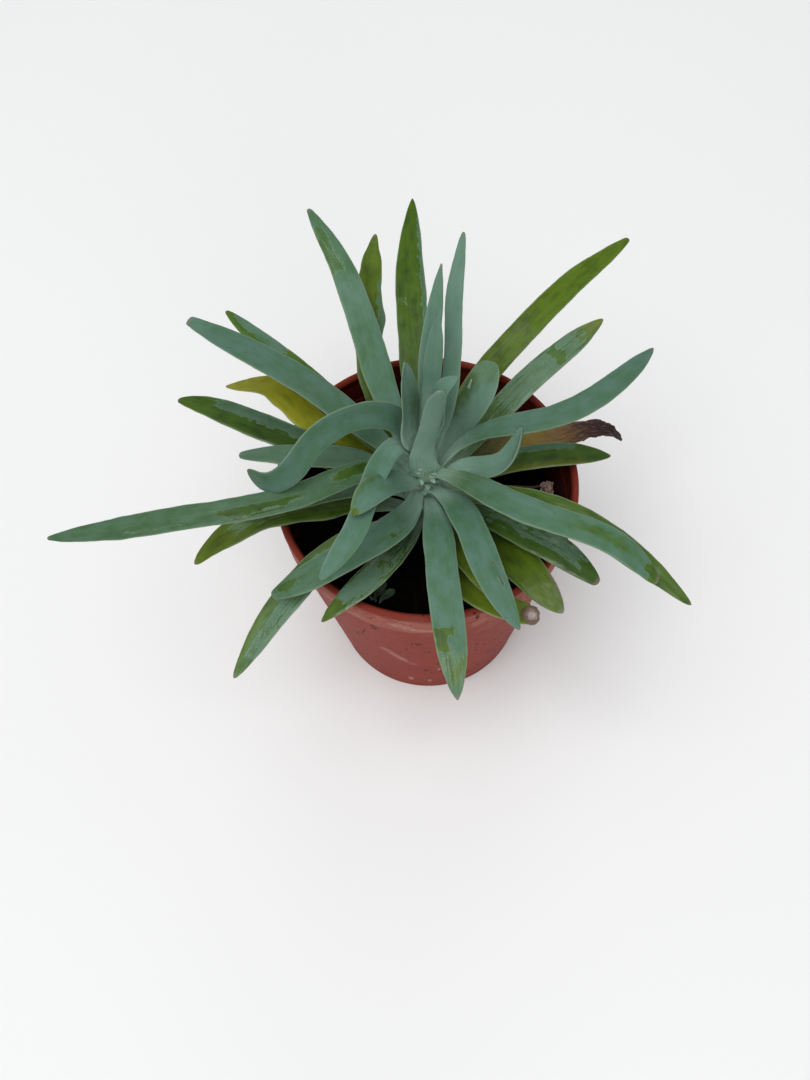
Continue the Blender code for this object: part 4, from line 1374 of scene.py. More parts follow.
def add_scraps(keeper, name):
    """Makes the scraps of a piece and joins them to it."""
    pieces = []
    for number, scrap in enumerate(SCRAPS):
        if scrap.keeper != name:
            continue
        piece = grow_leaf(scrap.leaf, SCRAP_SEEDS + number, scrap.reach, 0.0, LEAF_SKIN, SCRAP_LOOK)
        count = len(piece.data.vertices)
        for mark, value in (("husk", scrap.husk), ("cork", scrap.cork), ("root", SCRAP_PALE_ROOT_AND_PAINTED_LIGHT)):
            write_marks(piece.data, mark, np.full(count, value))
        pieces.append(piece)
    if pieces:
        join_meshes(keeper, pieces)


add_scraps(fine_leaves["leaf_spoon"], "leaf_spoon")
print("scraps:", len(SCRAPS))

# %% [markdown]
# ## Turned shapes
#
# The pot, the soil, the stem and the core of the growing tip are all turned: a profile carried
# round the pot's axis. One tree does it for all four. It takes the profile as a line of points
# that know their radius and height, sweeps it round a circle, and moves each point out to its
# place. What else is stored on the profile, such as which side of the pot's wall it is on, is
# carried round with it.

# %% Turning tree
def turning_tree():
    graph, given = geometry_graph("Turned shape", {"Steps": "Int", "Finish": "Material"})
    profile = graph.node("GeometryNodeMeshToCurve", None, {"Mesh": given["Geometry"]})
    circle = ring_curve(graph, given["Steps"])
    circle = store(graph, circle, "turn", graph.node("GeometryNodeSplineParameter"))
    wall = swept(graph, circle, profile, caps=False)
    turn = stored(graph, "turn") * (2 * math.pi)
    radius = stored(graph, "reach")
    place = graph.xyz(
        radius * graph.math("COSINE", turn), radius * graph.math("SINE", turn), stored(graph, "height")
    )
    shaped = put(graph, wall, "Position", graph.scaled(place, MM))
    closed = graph.node("GeometryNodeMergeByDistance", None, {"Geometry": shaped, "Distance": 0.001 * MM})
    return end_tree(graph, closed, given["Finish"])


TURNING_TREE = turning_tree()
print("turning tree:", len(TURNING_TREE.nodes), "nodes")

# %% [markdown]
# A profile is written as few points as its corners and arcs need. More are added between them
# before it is turned, since only points can be marked or moved.

# %% Profiles
def dense(profile, step):
    """The profile with points added, so that none is further than step from the next."""
    points = [profile[0]]
    for start, stop in zip(profile, profile[1:]):
        start, stop = np.array(start, float), np.array(stop, float)
        count = max(1, math.ceil(np.linalg.norm((stop - start)[:2]) / step))
        points += [tuple(start + (stop - start) * (k + 1) / count) for k in range(count)]
    return points


def arc(centre, radius, start, stop, count, side=0.0):
    """Points of a profile on an arc, from one angle to another in degrees."""
    angles = np.radians(np.linspace(start, stop, count))
    return [(centre[0] + radius * math.cos(a), centre[1] + radius * math.sin(a), side) for a in angles]


def turned(name, profile, steps, finish):
    """A turned piece from (radius, height, side) points. side is stored as an attribute."""
    radius, height, side = np.array(profile, float).T
    mesh = line_mesh(name, np.stack((radius, 0 * radius, height), axis=1))
    for key, values in (("reach", radius), ("height", height), ("side", side)):
        write_marks(mesh, key, values)
    obj = run_tree(add_object(name, mesh), TURNING_TREE, {"Steps": steps, "Finish": finish})
    point_outwards(obj)
    drop_marks(obj.data, ("reach", "height", "turn"))
    return obj


print("profile kit ready")

# %% [markdown]
# ## The callus
#
# The leaf in front at the right lost its tip long ago, and the wound has healed to a corky ball
# with a pale dished middle. It is a small turned shape, made lumpy, turned to face up and
# forwards, and joined to its leaf.

# %% Callus
CALLUS_PLACE = polar(302, 64.6, 112.2)
CALLUS_FACING = Vector((0.25, -0.35, 0.9))
CALLUS_PROFILE = (
    (0.0, 0.9, 1.0), (1.1, 1.1, 0.95), (1.8, 1.5, 0.7), (2.6, 1.3, 0.5),
    (3.3, 0.4, 0.45), (3.2, -0.9, 0.35), (2.4, -2.2, 0.1), (0.0, -2.7, 0.0),
)
CALLUS_STEPS = 40
CALLUS_STEP = 0.3
CALLUS_LUMP_SIZE = 1.3
CALLUS_LUMPS = 0.35


def plain_marks(mesh, look, root):
    """The same marks all over a small piece that is joined to leaves."""
    count = len(mesh.vertices)
    write_marks(mesh, "leaf_mm", points_of(mesh) / MM)
    for mark in MARKS:
        write_marks(mesh, mark, np.full(count, getattr(look, mark)))
    write_marks(mesh, "root", np.full(count, root))
    write_marks(mesh, "margin", np.zeros(count))


def roughen(mesh, size, depth):
    """Moves each point in or out from the middle by a smooth random amount."""
    points = points_of(mesh) / MM
    middle = points.mean(axis=0)
    for i, point in enumerate(points):
        away = (point - middle) / max(np.linalg.norm(point - middle), 0.01)
        points[i] = point + away * depth * noise.noise(Vector(point) / size)
    move_points(mesh, points * MM)


def make_callus():
    ball = turned("callus", dense(CALLUS_PROFILE, CALLUS_STEP), CALLUS_STEPS, LEAF_SKIN)
    write_marks(ball.data, "cork", read_marks(ball.data, "side"))
    drop_marks(ball.data, ("side",))
    roughen(ball.data, CALLUS_LUMP_SIZE, CALLUS_LUMPS)
    plain_marks(ball.data, LOOKS["leaf_callus_tip"], 0.0)
    turn = CALLUS_FACING.to_track_quat("Z", "Y").to_matrix().to_4x4()
    ball.data.transform(Matrix.Translation(Vector(CALLUS_PLACE) * MM) @ turn)
    return ball


callus = make_callus()
print("callus:", len(callus.data.polygons), "faces")
join_meshes(fine_leaves["leaf_callus_tip"], [callus])

# %% [markdown]
# That was the last thing to join to a leaf, so now each leaf can stand for its solid.

# %% Dress the leaves
for name, obj in fine_leaves.items():
    dress(obj, SLOTS[name], name)

# %% [markdown]
# ## The pot's plastic
#
# The pot is brick-red polypropylene that has stood outside. Its wall is dull and dusty, more so
# on the collar under the rim, with pale scuffs that run round it and scattered dark pits. A few
# larger pits, chips and cloudy smears have their own places on the front, as headings and
# heights. The rolled lip is handled and redder. The inside is painted almost black as shade,
# darkest low down and lighter towards the lip, with fine pale scratches. The patterns are
# stretched along or round the wall by scaling the object's own coordinates unevenly.

# %% Pot sizes
RIM_RADIUS = 55.0
POT_HEIGHT = 110.2
LIP_INNER = 52.5
LIP_FOOT = 107.0
COLLAR_RADIUS = 54.3
COLLAR_FOOT = 95.6
WALL_TOP_RADIUS = 53.2
BASE_RADIUS = 39.2
WALL = 1.5
FLOOR_TOP = 3.2
FOOT_RECESS = 1.5
FOOT_RING_INNER = 31.0
FOOT_CENTRE_RADIUS = 14.0
DRAIN_HOLES = 6
DRAIN_RADIUS = 3.5
DRAIN_CIRCLE = 22.5
POT_STEPS = 200


def inner_wall_radius(height):
    share = (height - FLOOR_TOP) / (COLLAR_FOOT - FLOOR_TOP)
    floor_radius = BASE_RADIUS - WALL
    return floor_radius + share * (WALL_TOP_RADIUS - WALL - floor_radius)


def pot_place(mark):
    """The place in mm of a mark on the pot's outer wall."""
    wall = inner_wall_radius(mark.height) + WALL if mark.height < COLLAR_FOOT else COLLAR_RADIUS
    return polar(mark.heading, wall, mark.height)


print("pot:", 2 * RIM_RADIUS, "mm across and", POT_HEIGHT, "mm high")

# %% Pot marks
POT_RED = (0.25, 0.031, 0.017)
POT_DULL = (0.235, 0.034, 0.021)
POT_DUST = (0.35, 0.125, 0.095)
POT_LIP = (0.2, 0.034, 0.021)
# Inside the pot the colour is painted shade, almost black.
POT_INSIDE_SHADE = (0.03, 0.006, 0.004)
POT_SCRATCH = (0.42, 0.22, 0.18)
POT_PIT = (0.05, 0.007, 0.004)
POT_RELIEF = 0.00018
PIT_DENSITY = 0.34
SPECK_STRETCH = 0.4
Mark = namedtuple("Mark", "heading height size")
POT_SPECKS = (
    Mark(236, 64.5, 0.55), Mark(248, 88.5, 0.75), Mark(247.3, 90.5, 0.45), Mark(260, 66.8, 0.4),
    Mark(266, 76.5, 0.4), Mark(268, 64.2, 0.35), Mark(270, 64.0, 0.4), Mark(288, 104.2, 0.55),
    Mark(292, 62.5, 0.5), Mark(303, 32.0, 0.45), Mark(308, 28.0, 0.4), Mark(310, 24.8, 0.5),
    Mark(299, 19.3, 0.5), Mark(268, 32.2, 0.55), Mark(271, 28.0, 0.4), Mark(274, 43.0, 0.45),
    Mark(293, 52.0, 0.4), Mark(303, 34.0, 0.5), Mark(305, 34.3, 0.4), Mark(297, 54.8, 0.45),
    Mark(303, 53.5, 0.4), Mark(274, 34.0, 0.35), Mark(276, 29.5, 0.35), Mark(306, 58.0, 0.35),
)
POT_CHIPS = (Mark(275, 33.0, 0.5), Mark(259, 13.7, 0.8), Mark(270, 12.0, 0.6), Mark(281, 9.0, 0.5))
Smear = namedtuple("Smear", "start stop width strength")
POT_SMEARS = (
    Smear(Mark(249, 58, 0), Mark(257, 48, 0), 2.6, 0.7),
    Smear(Mark(256, 48.5, 0), Mark(262, 41.7, 0), 1.3, 0.7),
    Smear(Mark(257, 102, 0), Mark(263, 99.5, 0), 2.4, 0.8),
    Smear(Mark(265, 98.8, 0), Mark(274, 98.2, 0), 1.5, 0.8),
    Smear(Mark(280, 99, 0), Mark(296, 99.5, 0), 0.6, 0.35),
    Smear(Mark(228, 100, 0), Mark(244, 99, 0), 2.2, 0.6),
)
print("pot marks:", len(POT_SPECKS), "pits,", len(POT_CHIPS), "chips and", len(POT_SMEARS), "smears")


# %% Pot plastic
def near_line(graph, where, start, stop, width, rough):
    """1 on the straight line from start to stop, fading to 0 at about width from it."""
    run = Vector(stop - start)
    offset = graph.vector("SUBTRACT", where, tuple(start))
    share = graph.vector("DOT_PRODUCT", offset, tuple(run / run.length_squared), "Value")
    share = graph.math("MINIMUM", graph.math("MAXIMUM", share, 0.0), 1.0)
    distance = graph.vector("DISTANCE", offset, graph.scaled(tuple(run), share), "Value")
    return 1.0 - graph.smooth(distance + rough, width * 0.2, width)


def pot_plastic():
    material, graph = new_material("pot plastic")
    where = place_mm(graph)
    height = height_of(graph, where)
    clouds = graph.noise(where, (0.035, 0.035, 0.06), 3.0, 0.6)
    rounds = graph.noise(where, (0.06, 0.06, 0.34), 5.0, 0.68, 0.5)
    grain = graph.noise(where, (1.6, 1.6, 1.6), 3.0, 0.7)
    smears = graph.noise(where, (0.1, 0.1, 0.17), 6.0, 0.7, 0.9)
    inside = painted(graph, "side")
    lip = graph.smooth(height, LIP_FOOT - 1.0, LIP_FOOT + 0.4)
    collar = graph.smooth(height, COLLAR_FOOT - 1.1, COLLAR_FOOT + 1.4) * (1.0 - lip)

    # Dull and dusty plastic, with scuffs that run round it.
    colour = graph.mix(POT_RED, POT_DULL, graph.smooth(clouds + (rounds - 0.5) * 0.5, 0.35, 0.65))
    colour = graph.mix(colour, POT_LIP, lip * 0.8)
    dust = graph.smooth(smears + (grain - 0.5) * 0.25 + (clouds - 0.5) * 0.5 + collar * 0.12, 0.48, 0.74)
    dust = dust * (0.2 + 0.3 * graph.smooth(height, 45.0, 85.0) + 0.3 * collar) * (1.0 - 0.8 * lip)
    colour = graph.mix(colour, POT_DUST, dust + collar * 0.28 * graph.smooth(rounds, 0.3, 0.7))
    scuff = graph.smooth(rounds + (smears - 0.5) * 0.6 + (clouds - 0.5) * 0.6, 0.63, 0.76)
    scuff = scuff * graph.smooth(grain, 0.42, 0.6)
    colour = graph.mix(colour, POT_SCRATCH, scuff * 0.5)

    # Smears, pits and chips.
    cloudy = (smears - 0.56) * 7.0 + (grain - 0.5) * 1.5
    patchy = graph.smooth(grain * 0.5 + smears * 0.5, 0.38, 0.58)
    for smear in POT_SMEARS:
        line = near_line(graph, where, pot_place(smear.start), pot_place(smear.stop), smear.width, cloudy)
        colour = graph.mix(colour, POT_SCRATCH, line * patchy * smear.strength)
    cells = graph.node("ShaderNodeTexVoronoi", None, {"Vector": where, "Scale": PIT_DENSITY})
    pits = (1.0 - graph.smooth(cells, 0.12, 0.22)) * graph.smooth(clouds + rounds - 0.5, 0.46, 0.56)
    colour = graph.mix(colour, POT_PIT, pits * 0.85 * (1.0 - collar * 0.6))
    squashed = graph.vector("MULTIPLY", where, (1.0, 1.0, SPECK_STRETCH))
    for finish, marks in ((POT_PIT, POT_SPECKS), (POT_SCRATCH, POT_CHIPS)):
        for mark in marks:
            middle = pot_place(mark) * (1.0, 1.0, SPECK_STRETCH)
            distance = graph.vector("DISTANCE", squashed, tuple(middle), "Value")
            ragged = distance + (grain - 0.5) * mark.size
            spot = 1.0 - graph.smooth(ragged, mark.size, mark.size * 1.8)
            colour = graph.mix(colour, finish, spot * 0.85)

    # The inside, painted almost black as shade and lighter towards the lip, with pale scratches.
    inside_shade = graph.mix(POT_INSIDE_SHADE, POT_RED, graph.smooth(height, 86.0, LIP_FOOT) * 0.42)
    lines = graph.noise(where, (0.9, 0.9, 0.08), 2.0, 0.5, 0.3)
    scratch = graph.smooth(lines, 0.64, 0.7) * graph.smooth(clouds, 0.45, 0.6)
    inside_shade = graph.mix(inside_shade, POT_SCRATCH, scratch * 0.35)
    colour = graph.mix(colour, inside_shade, inside)
    relief = grain * 0.35 + rounds * 0.4 - pits * 0.8 + smears * 0.25
    surface(graph, {
        "Base Color": colour,
        "Roughness": 0.5 + 0.2 * (clouds - 0.5) + 0.15 * dust - 0.12 * lip,
        "Specular IOR Level": 0.05,
        "Normal": bumped(graph, relief, POT_RELIEF),
    })
    return material


POT_PLASTIC = pot_plastic()
print("pot plastic:", len(POT_PLASTIC.node_tree.nodes), "nodes")

# %% [markdown]
# ## The pot
#
# A nursery pot is one thin moulding: a rolled lip, a straight collar under it with a small step
# at its foot, a tapered wall and a recessed base with drain holes. The profile runs from the
# inside of the floor up over the lip and down to the foot, with arcs where the plastic is round.
# The third number of a point says how far inside the pot it counts, for the painted shade inside it.

# %% Pot shape
PROFILE_STEP = 1.6


def pot_profile():
    inside = [
        (0.0, FLOOR_TOP, 1),
        (BASE_RADIUS - WALL - 1.6, FLOOR_TOP, 1),
        *arc((BASE_RADIUS - WALL - 1.6, FLOOR_TOP + 1.8), 1.8, -80, -8, 6, 1),
        (WALL_TOP_RADIUS - WALL, COLLAR_FOOT, 1),
        (WALL_TOP_RADIUS - WALL + 0.1, COLLAR_FOOT + 0.4, 1),
        (LIP_INNER - 0.1, COLLAR_FOOT + 0.8, 1),
        (LIP_INNER + 0.1, LIP_FOOT - 0.5, 1),
        (LIP_INNER - 0.1, LIP_FOOT - 0.1, 0.8),
        *arc((LIP_INNER + 0.8, POT_HEIGHT - 1.4), 1.0, 200, 120, 6, 0.7),
    ]
    outside = [
        *arc((RIM_RADIUS - 1.5, POT_HEIGHT - 1.5), 1.5, 100, 60, 5, 0.35),
        *arc((RIM_RADIUS - 1.5, POT_HEIGHT - 1.5), 1.5, 50, -10, 7),
        *arc((RIM_RADIUS - 0.75, LIP_FOOT + 0.85), 0.75, 0, -80, 6),
        (COLLAR_RADIUS + 0.08, LIP_FOOT - 0.25, 0),
        (COLLAR_RADIUS, LIP_FOOT - 0.8, 0),
        (COLLAR_RADIUS - 0.15, COLLAR_FOOT + 0.9, 0),
        *arc((COLLAR_RADIUS - 0.75, COLLAR_FOOT + 0.7), 0.6, 0, -75, 5),
        (WALL_TOP_RADIUS + 0.1, COLLAR_FOOT - 0.15, 0),
        (WALL_TOP_RADIUS - 0.05, COLLAR_FOOT - 0.8, 0),
        (BASE_RADIUS + 0.15, 2.4, 0),
        *arc((BASE_RADIUS - 1.2, 1.3), 1.3, 5, -90, 7),
    ]
    underside = [
        (FOOT_RING_INNER + 0.3, 0.0, 0),
        (FOOT_RING_INNER - 0.4, 0.5, 0),
        (FOOT_RING_INNER - 0.9, FOOT_RECESS, 0),
        (FOOT_CENTRE_RADIUS + 0.9, FOOT_RECESS, 0),
        (FOOT_CENTRE_RADIUS + 0.3, 0.5, 0),
        (FOOT_CENTRE_RADIUS - 0.3, 0.0, 0),
        (0.0, 0.0, 0),
    ]
    return dense(inside + outside + underside, PROFILE_STEP)


pot = turned("pot_fine", pot_profile(), POT_STEPS, POT_PLASTIC)
print("pot faces before its holes:", len(pot.data.polygons))

# %% [markdown]
# The floor has a ring of round drain holes. A second tree sets upright cylinders in a ring and
# subtracts them, as a drill would.

# %% Drain holes
DRAIN_SIDES = 40
SHARP_ANGLE = math.radians(50)


def drain_tree():
    """Cuts a ring of round holes through the floor."""
    sizes = {
        "Holes": "Int", "Hole radius": "Float", "Ring radius": "Float", "Depth": "Float",
        "Finish": "Material",
    }
    graph, given = geometry_graph("Drain holes", sizes)
    ring = graph.node(
        "GeometryNodeMeshCircle", None, {"Vertices": given["Holes"], "Radius": given["Ring radius"]}
    )
    cutter = graph.node(
        "GeometryNodeMeshCylinder", None,
        {"Vertices": DRAIN_SIDES, "Radius": given["Hole radius"], "Depth": given["Depth"]},
    )
    meshes = {"Mesh 1": given["Geometry"], "Mesh 2": instances(graph, ring, cutter)}
    cut = graph.node("GeometryNodeMeshBoolean", {"operation": "DIFFERENCE"}, meshes)
    return end_tree(graph, cut, given["Finish"])


run_tree(pot, drain_tree(), {
    "Holes": DRAIN_HOLES, "Hole radius": DRAIN_RADIUS * MM, "Ring radius": DRAIN_CIRCLE * MM,
    "Depth": 4 * FLOOR_TOP * MM, "Finish": POT_PLASTIC,
})
pot.data.set_sharp_from_angle(angle=SHARP_ANGLE)
dress(pot, "pot", "pot")

# %% [markdown]
# ## Soil
#
# The pot is filled with wet peat, nearly black, to about 30 mm under its rim. Its surface is the
# solid's own, a low mound with lumps, plus finer crumbs. The soil is turned like the pot, with a
# flat top, and each point of the top is then raised to its height.

# %% Soil finish
PEAT_DARK = (0.0018, 0.0015, 0.0012)
PEAT_BROWN = (0.009, 0.0062, 0.0042)
PEAT_FIBRE = (0.06, 0.042, 0.029)
PEAT_RELIEF = 0.0008


def peat():
    material, graph = new_material("wet peat")
    where = place_mm(graph)
    lumps = graph.noise(where, (0.35, 0.35, 0.35), 4.0, 0.65)
    crumbs = graph.noise(where, (1.8, 1.8, 1.8), 4.0, 0.7)
    colour = graph.mix(PEAT_DARK, PEAT_BROWN, graph.smooth(lumps * 0.5 + crumbs * 0.5, 0.4, 0.7))
    colour = graph.mix(colour, PEAT_FIBRE, painted(graph, "pale") * graph.smooth(crumbs, 0.3, 0.7) * 0.6)
    surface(graph, {
        "Base Color": colour,
        "Roughness": 0.75 + 0.25 * crumbs,
        "Specular IOR Level": 0.03,
        "Normal": bumped(graph, crumbs * 0.6 + lumps * 0.4, PEAT_RELIEF),
    })
    return material


PEAT = peat()
print("peat:", len(PEAT.node_tree.nodes), "nodes")

# %% Soil surface
SOIL_LEVEL = 80.0
SOIL_MOUND = 3.0
SOIL_MOUND_RADIUS = 30.0
SOIL_TILT = 0.05
SOIL_LUMPS = 1.2
SOIL_LUMP_SIZE = 7.0
SOIL_GAP = 0.15
SOIL_CRUMBS = ((3.1, 0.5), (1.6, 0.35))
SOIL_STEPS = 200


def soil_top(x, y):
    """Height of the soil's surface at a place, as in the solid."""
    mound = SOIL_MOUND * max(0.0, 1 - math.hypot(x, y) / SOIL_MOUND_RADIUS)
    lump = SOIL_LUMPS * noise.noise(Vector((x, y, 0.0)) / SOIL_LUMP_SIZE)
    return SOIL_LEVEL + mound + SOIL_TILT * x + lump


def soil_profile():
    edge = inner_wall_radius(SOIL_LEVEL) - SOIL_GAP
    foot = inner_wall_radius(FLOOR_TOP + 2.0) - SOIL_GAP
    top = dense([(0.0, SOIL_LEVEL, 1), (edge, SOIL_LEVEL, 1)], 0.9)
    side = dense([(edge, SOIL_LEVEL, 1), (foot, FLOOR_TOP + 2.0, 0)], 6.0)[1:]
    under = [(foot - 2.0, FLOOR_TOP + SOIL_GAP, 0), (0.0, FLOOR_TOP + SOIL_GAP, 0)]
    return top + side + under


def raise_soil(mesh):
    """Gives the flat top its mound, lumps and crumbs."""
    points = points_of(mesh) / MM
    edge = inner_wall_radius(SOIL_LEVEL) - SOIL_GAP
    for i in np.nonzero(points[:, 2] > SOIL_LEVEL - 1.0)[0]:
        x, y = points[i, :2]
        height = soil_top(x, y)
        crumbs = sum(depth * noise.noise(Vector((x, y, 9.0)) / size) for size, depth in SOIL_CRUMBS)
        flare = (inner_wall_radius(height) - SOIL_GAP) / edge
        points[i] = x * flare, y * flare, height + crumbs
    move_points(mesh, points * MM)


soil = turned("soil_fine", soil_profile(), SOIL_STEPS, PEAT)
raise_soil(soil.data)
print("soil faces:", len(soil.data.polygons))

# %% [markdown]
# Loose crumbs and short root fibres lie over the top, and catch the light when the pot is seen
# from the side. The litter tree picks random points on the upward faces and puts a crumb or a
# fibre on each. A crumb is a coarse lumpy ball, squashed and turned at random. A fibre is a short
# line swept with a four-sided ring and bent by noise, so a hundred of them cost few faces.

# %% Litter on the soil
CRUMB_DENSITY = 70000.0
FIBRE_DENSITY = 17000.0
CRUMB_SIZE = 0.75 * MM
FIBRE_LENGTH = 6.0 * MM
FIBRE_RADIUS = 0.11 * MM
FIBRE_SIDES = 4
LITTER_SEED = 4
FULL_TURN = 2 * math.pi


def litter_tree():
    sizes = {
        "Crumbs a square metre": "Float", "Fibres a square metre": "Float", "Crumb size": "Float",
        "Fibre length": "Float", "Fibre radius": "Float", "Seed": "Int", "Finish": "Material",
    }
    graph, given = geometry_graph("Soil litter", sizes)
    ground = given["Geometry"]
    rise = height_of(graph, graph.node("GeometryNodeInputNormal"))
    up = graph.math("GREATER_THAN", rise * stored(graph, "side"), 0.5)

    def scatter(density, seed):
        return graph.node(
            "GeometryNodeDistributePointsOnFaces", {"distribute_method": "RANDOM"},
            {"Mesh": ground, "Selection": up, "Density": density, "Seed": seed},
        )

    def drawn(low, high, seed):
        feeds = {"Min": low, "Max": high, "Seed": seed}
        return graph.node("FunctionNodeRandomValue", {"data_type": "FLOAT_VECTOR"}, feeds)

    def place(points, thing, turn, size, low, high, seed):
        """A thing on each point, each with its own share of the pale colour."""
        island = graph.node("GeometryNodeInputMeshIsland")
        pale = graph.node(
            "FunctionNodeRandomValue", {"data_type": "FLOAT"},
            {"Min_001": low, "Max_001": high, "ID": island, "Seed": seed}, 1,
        )
        placed = instances(graph, points, thing, turn, size)
        return store(graph, placed, "pale", graph.math("MAXIMUM", pale, 0.0))

    ball = graph.node("GeometryNodeMeshIcoSphere", None, {"Radius": given["Crumb size"], "Subdivisions": 2})
    lumpy = graph.node("ShaderNodeTexNoise", None, {"Scale": 1100.0, "Detail": 1.0})
    swell = (lumpy - 0.5) * given["Crumb size"] * 1.6
    swell = graph.scaled(graph.node("GeometryNodeInputNormal"), swell)
    ball = put(graph, ball, "Offset", swell)
    seed = given["Seed"]
    crumbs = place(
        scatter(given["Crumbs a square metre"], seed), ball,
        drawn((0.0, 0.0, 0.0), (FULL_TURN,) * 3, 11), drawn((0.25, 0.25, 0.2), (1.0, 1.0, 0.7), 12),
        -1.4, 0.6, 13,
    )
    half = given["Fibre length"] * 0.5
    ends = {"Start": graph.xyz(0.0 - half), "End": graph.xyz(half)}
    line = graph.node("GeometryNodeCurvePrimitiveLine", None, ends)
    line = graph.node("GeometryNodeResampleCurve", None, {"Curve": line, "Count": 9})
    fibre = swept(graph, line, ring_curve(graph, FIBRE_SIDES, given["Fibre radius"]))
    fibres = place(
        scatter(given["Fibres a square metre"], seed + 1), fibre,
        drawn((-0.12, -0.12, 0.0), (0.12, 0.12, FULL_TURN), 21), drawn((0.4, 0.5, 0.5), (1.3, 1.2, 1.2), 22),
        0.1, 1.0, 23,
    )
    spot = graph.node("GeometryNodeInputPosition")
    sway = graph.node("ShaderNodeTexNoise", None, {"Vector": spot, "Scale": 260.0, "Detail": 1.0}, "Color")
    sway = graph.vector("SUBTRACT", sway, (0.5, 0.5, 0.42))
    sway = graph.vector("MULTIPLY", sway, (0.007, 0.007, 0.0022))
    fibres = put(graph, fibres, "Offset", sway)
    return end_tree(graph, joined(graph, ground, crumbs, fibres), given["Finish"])


run_tree(soil, litter_tree(), {
    "Crumbs a square metre": CRUMB_DENSITY, "Fibres a square metre": FIBRE_DENSITY,
    "Crumb size": CRUMB_SIZE, "Fibre length": FIBRE_LENGTH, "Fibre radius": FIBRE_RADIUS,
    "Seed": LITTER_SEED, "Finish": PEAT,
})
add_scraps(soil, "soil")
dress(soil, "soil", "soil")

# %% [markdown]
# ## The stem
#
# The stem is corky and pale low down, and still greenish among the leaves, with fine grooves
# along it. It is turned from a profile that swells a little between its rings, and each point is
# then pressed in or out by noise that is stretched lengthways.

# %% Stem
STEM_CORK = (0.3, 0.26, 0.18)
STEM_PALE = (0.45, 0.44, 0.34)
STEM_GREY = (0.12, 0.1, 0.07)
STEM_YOUNG = (0.26, 0.38, 0.27)
STEM_YOUNG_FOOT = 97.0
STEM_YOUNG_TOP = 108.0
STEM_SHOULDER = 5.0
STEM_STEPS = 96
STEM_RING_SPACING = 6.0
STEM_RING_SWELL = 0.22
STEM_GROOVES = 0.16
STEM_GROOVE_LENGTH = 9.0
STEM_RELIEF = 0.0005


def stem_cork():
    material, graph = new_material("stem cork")
    where = place_mm(graph)
    grooves = graph.noise(where, (1.7, 1.7, 0.13), 4.0, 0.6)
    rings = graph.noise(where, (0.2, 0.2, 1.3), 3.0, 0.6)
    grain = graph.noise(where, (4.0, 4.0, 3.0), 2.0, 0.6)
    colour = graph.mix(STEM_CORK, STEM_PALE, graph.smooth(grooves + (rings - 0.5) * 0.5, 0.4, 0.62))
    colour = graph.mix(colour, STEM_GREY, (1.0 - graph.smooth(grooves, 0.28, 0.45)) * 0.8)
    height = height_of(graph, where)
    young = graph.smooth(height + (grooves - 0.5) * 20.0, STEM_YOUNG_FOOT, STEM_YOUNG_TOP)
    colour = graph.mix(colour, STEM_YOUNG, young)
    surface(graph, {
        "Base Color": colour,
        "Roughness": 0.65 + 0.2 * grain,
        "Specular IOR Level": 0.3,
        "Normal": bumped(graph, grooves * 0.6 + rings * 0.25 + grain * 0.15, STEM_RELIEF),
    })
    return material


def stem_profile():
    """The stem from its top down, with a low swelling between each two rings of scars."""
    heights = np.arange(STEM_TOP + 1.5, STEM_FOOT, -0.8)
    swell = [STEM_RING_SWELL * abs(math.sin(math.pi * h / STEM_RING_SPACING)) for h in heights]
    wall = [(stem_radius(h) + s - 0.1, h, 0) for h, s in zip(heights, swell)]
    shoulder = [
        (wall[0][0] * math.sin(a), heights[0] + STEM_SHOULDER * math.cos(a), 0)
        for a in np.linspace(0.3, 1.5, 7)
    ]
    foot = [(0.4 * STEM_FOOT_RADIUS, STEM_FOOT, 0), (0.0, STEM_FOOT, 0)]
    return [(0.0, heights[0] + STEM_SHOULDER, 0), *shoulder, *wall, *foot]


def groove(mesh, depth, size):
    """Presses fine lengthwise grooves into a turned piece."""
    points = points_of(mesh) / MM
    for i, (x, y, z) in enumerate(points):
        reach = math.hypot(x, y)
        if reach < 0.5:
            continue
        turn = Vector((x / reach * 4, y / reach * 4, z / size))
        points[i, :2] *= 1 + depth * noise.noise(turn * 1.3) / reach
    move_points(mesh, points * MM)


STEM_FINISH = stem_cork()
stem = turned("stem_fine", stem_profile(), STEM_STEPS, STEM_FINISH)
groove(stem.data, STEM_GROOVES, STEM_GROOVE_LENGTH)
print("stem faces:", len(stem.data.polygons))

# %% [markdown]
# Every leaf that the stem has dropped left a crescent scar. Leaves grow round a stem at the
# golden angle, each about 137.5 degrees on from the last, so the scars follow the same rule: a
# line of points, turned by their index, with a bent rod on each.

# %% Leaf scars
GOLDEN_ANGLE = math.radians(137.5)
SCAR_COUNT = 34
SCAR_FOOT = 84.0
SCAR_RISE = 1.2
SCAR_RADIUS = 1.5
SCAR_THICKNESS = 0.24
SCAR_SINK = 0.05
SCAR_SIDES = 8
SCAR_START = math.radians(195)
SCAR_SWEEP = math.radians(150)


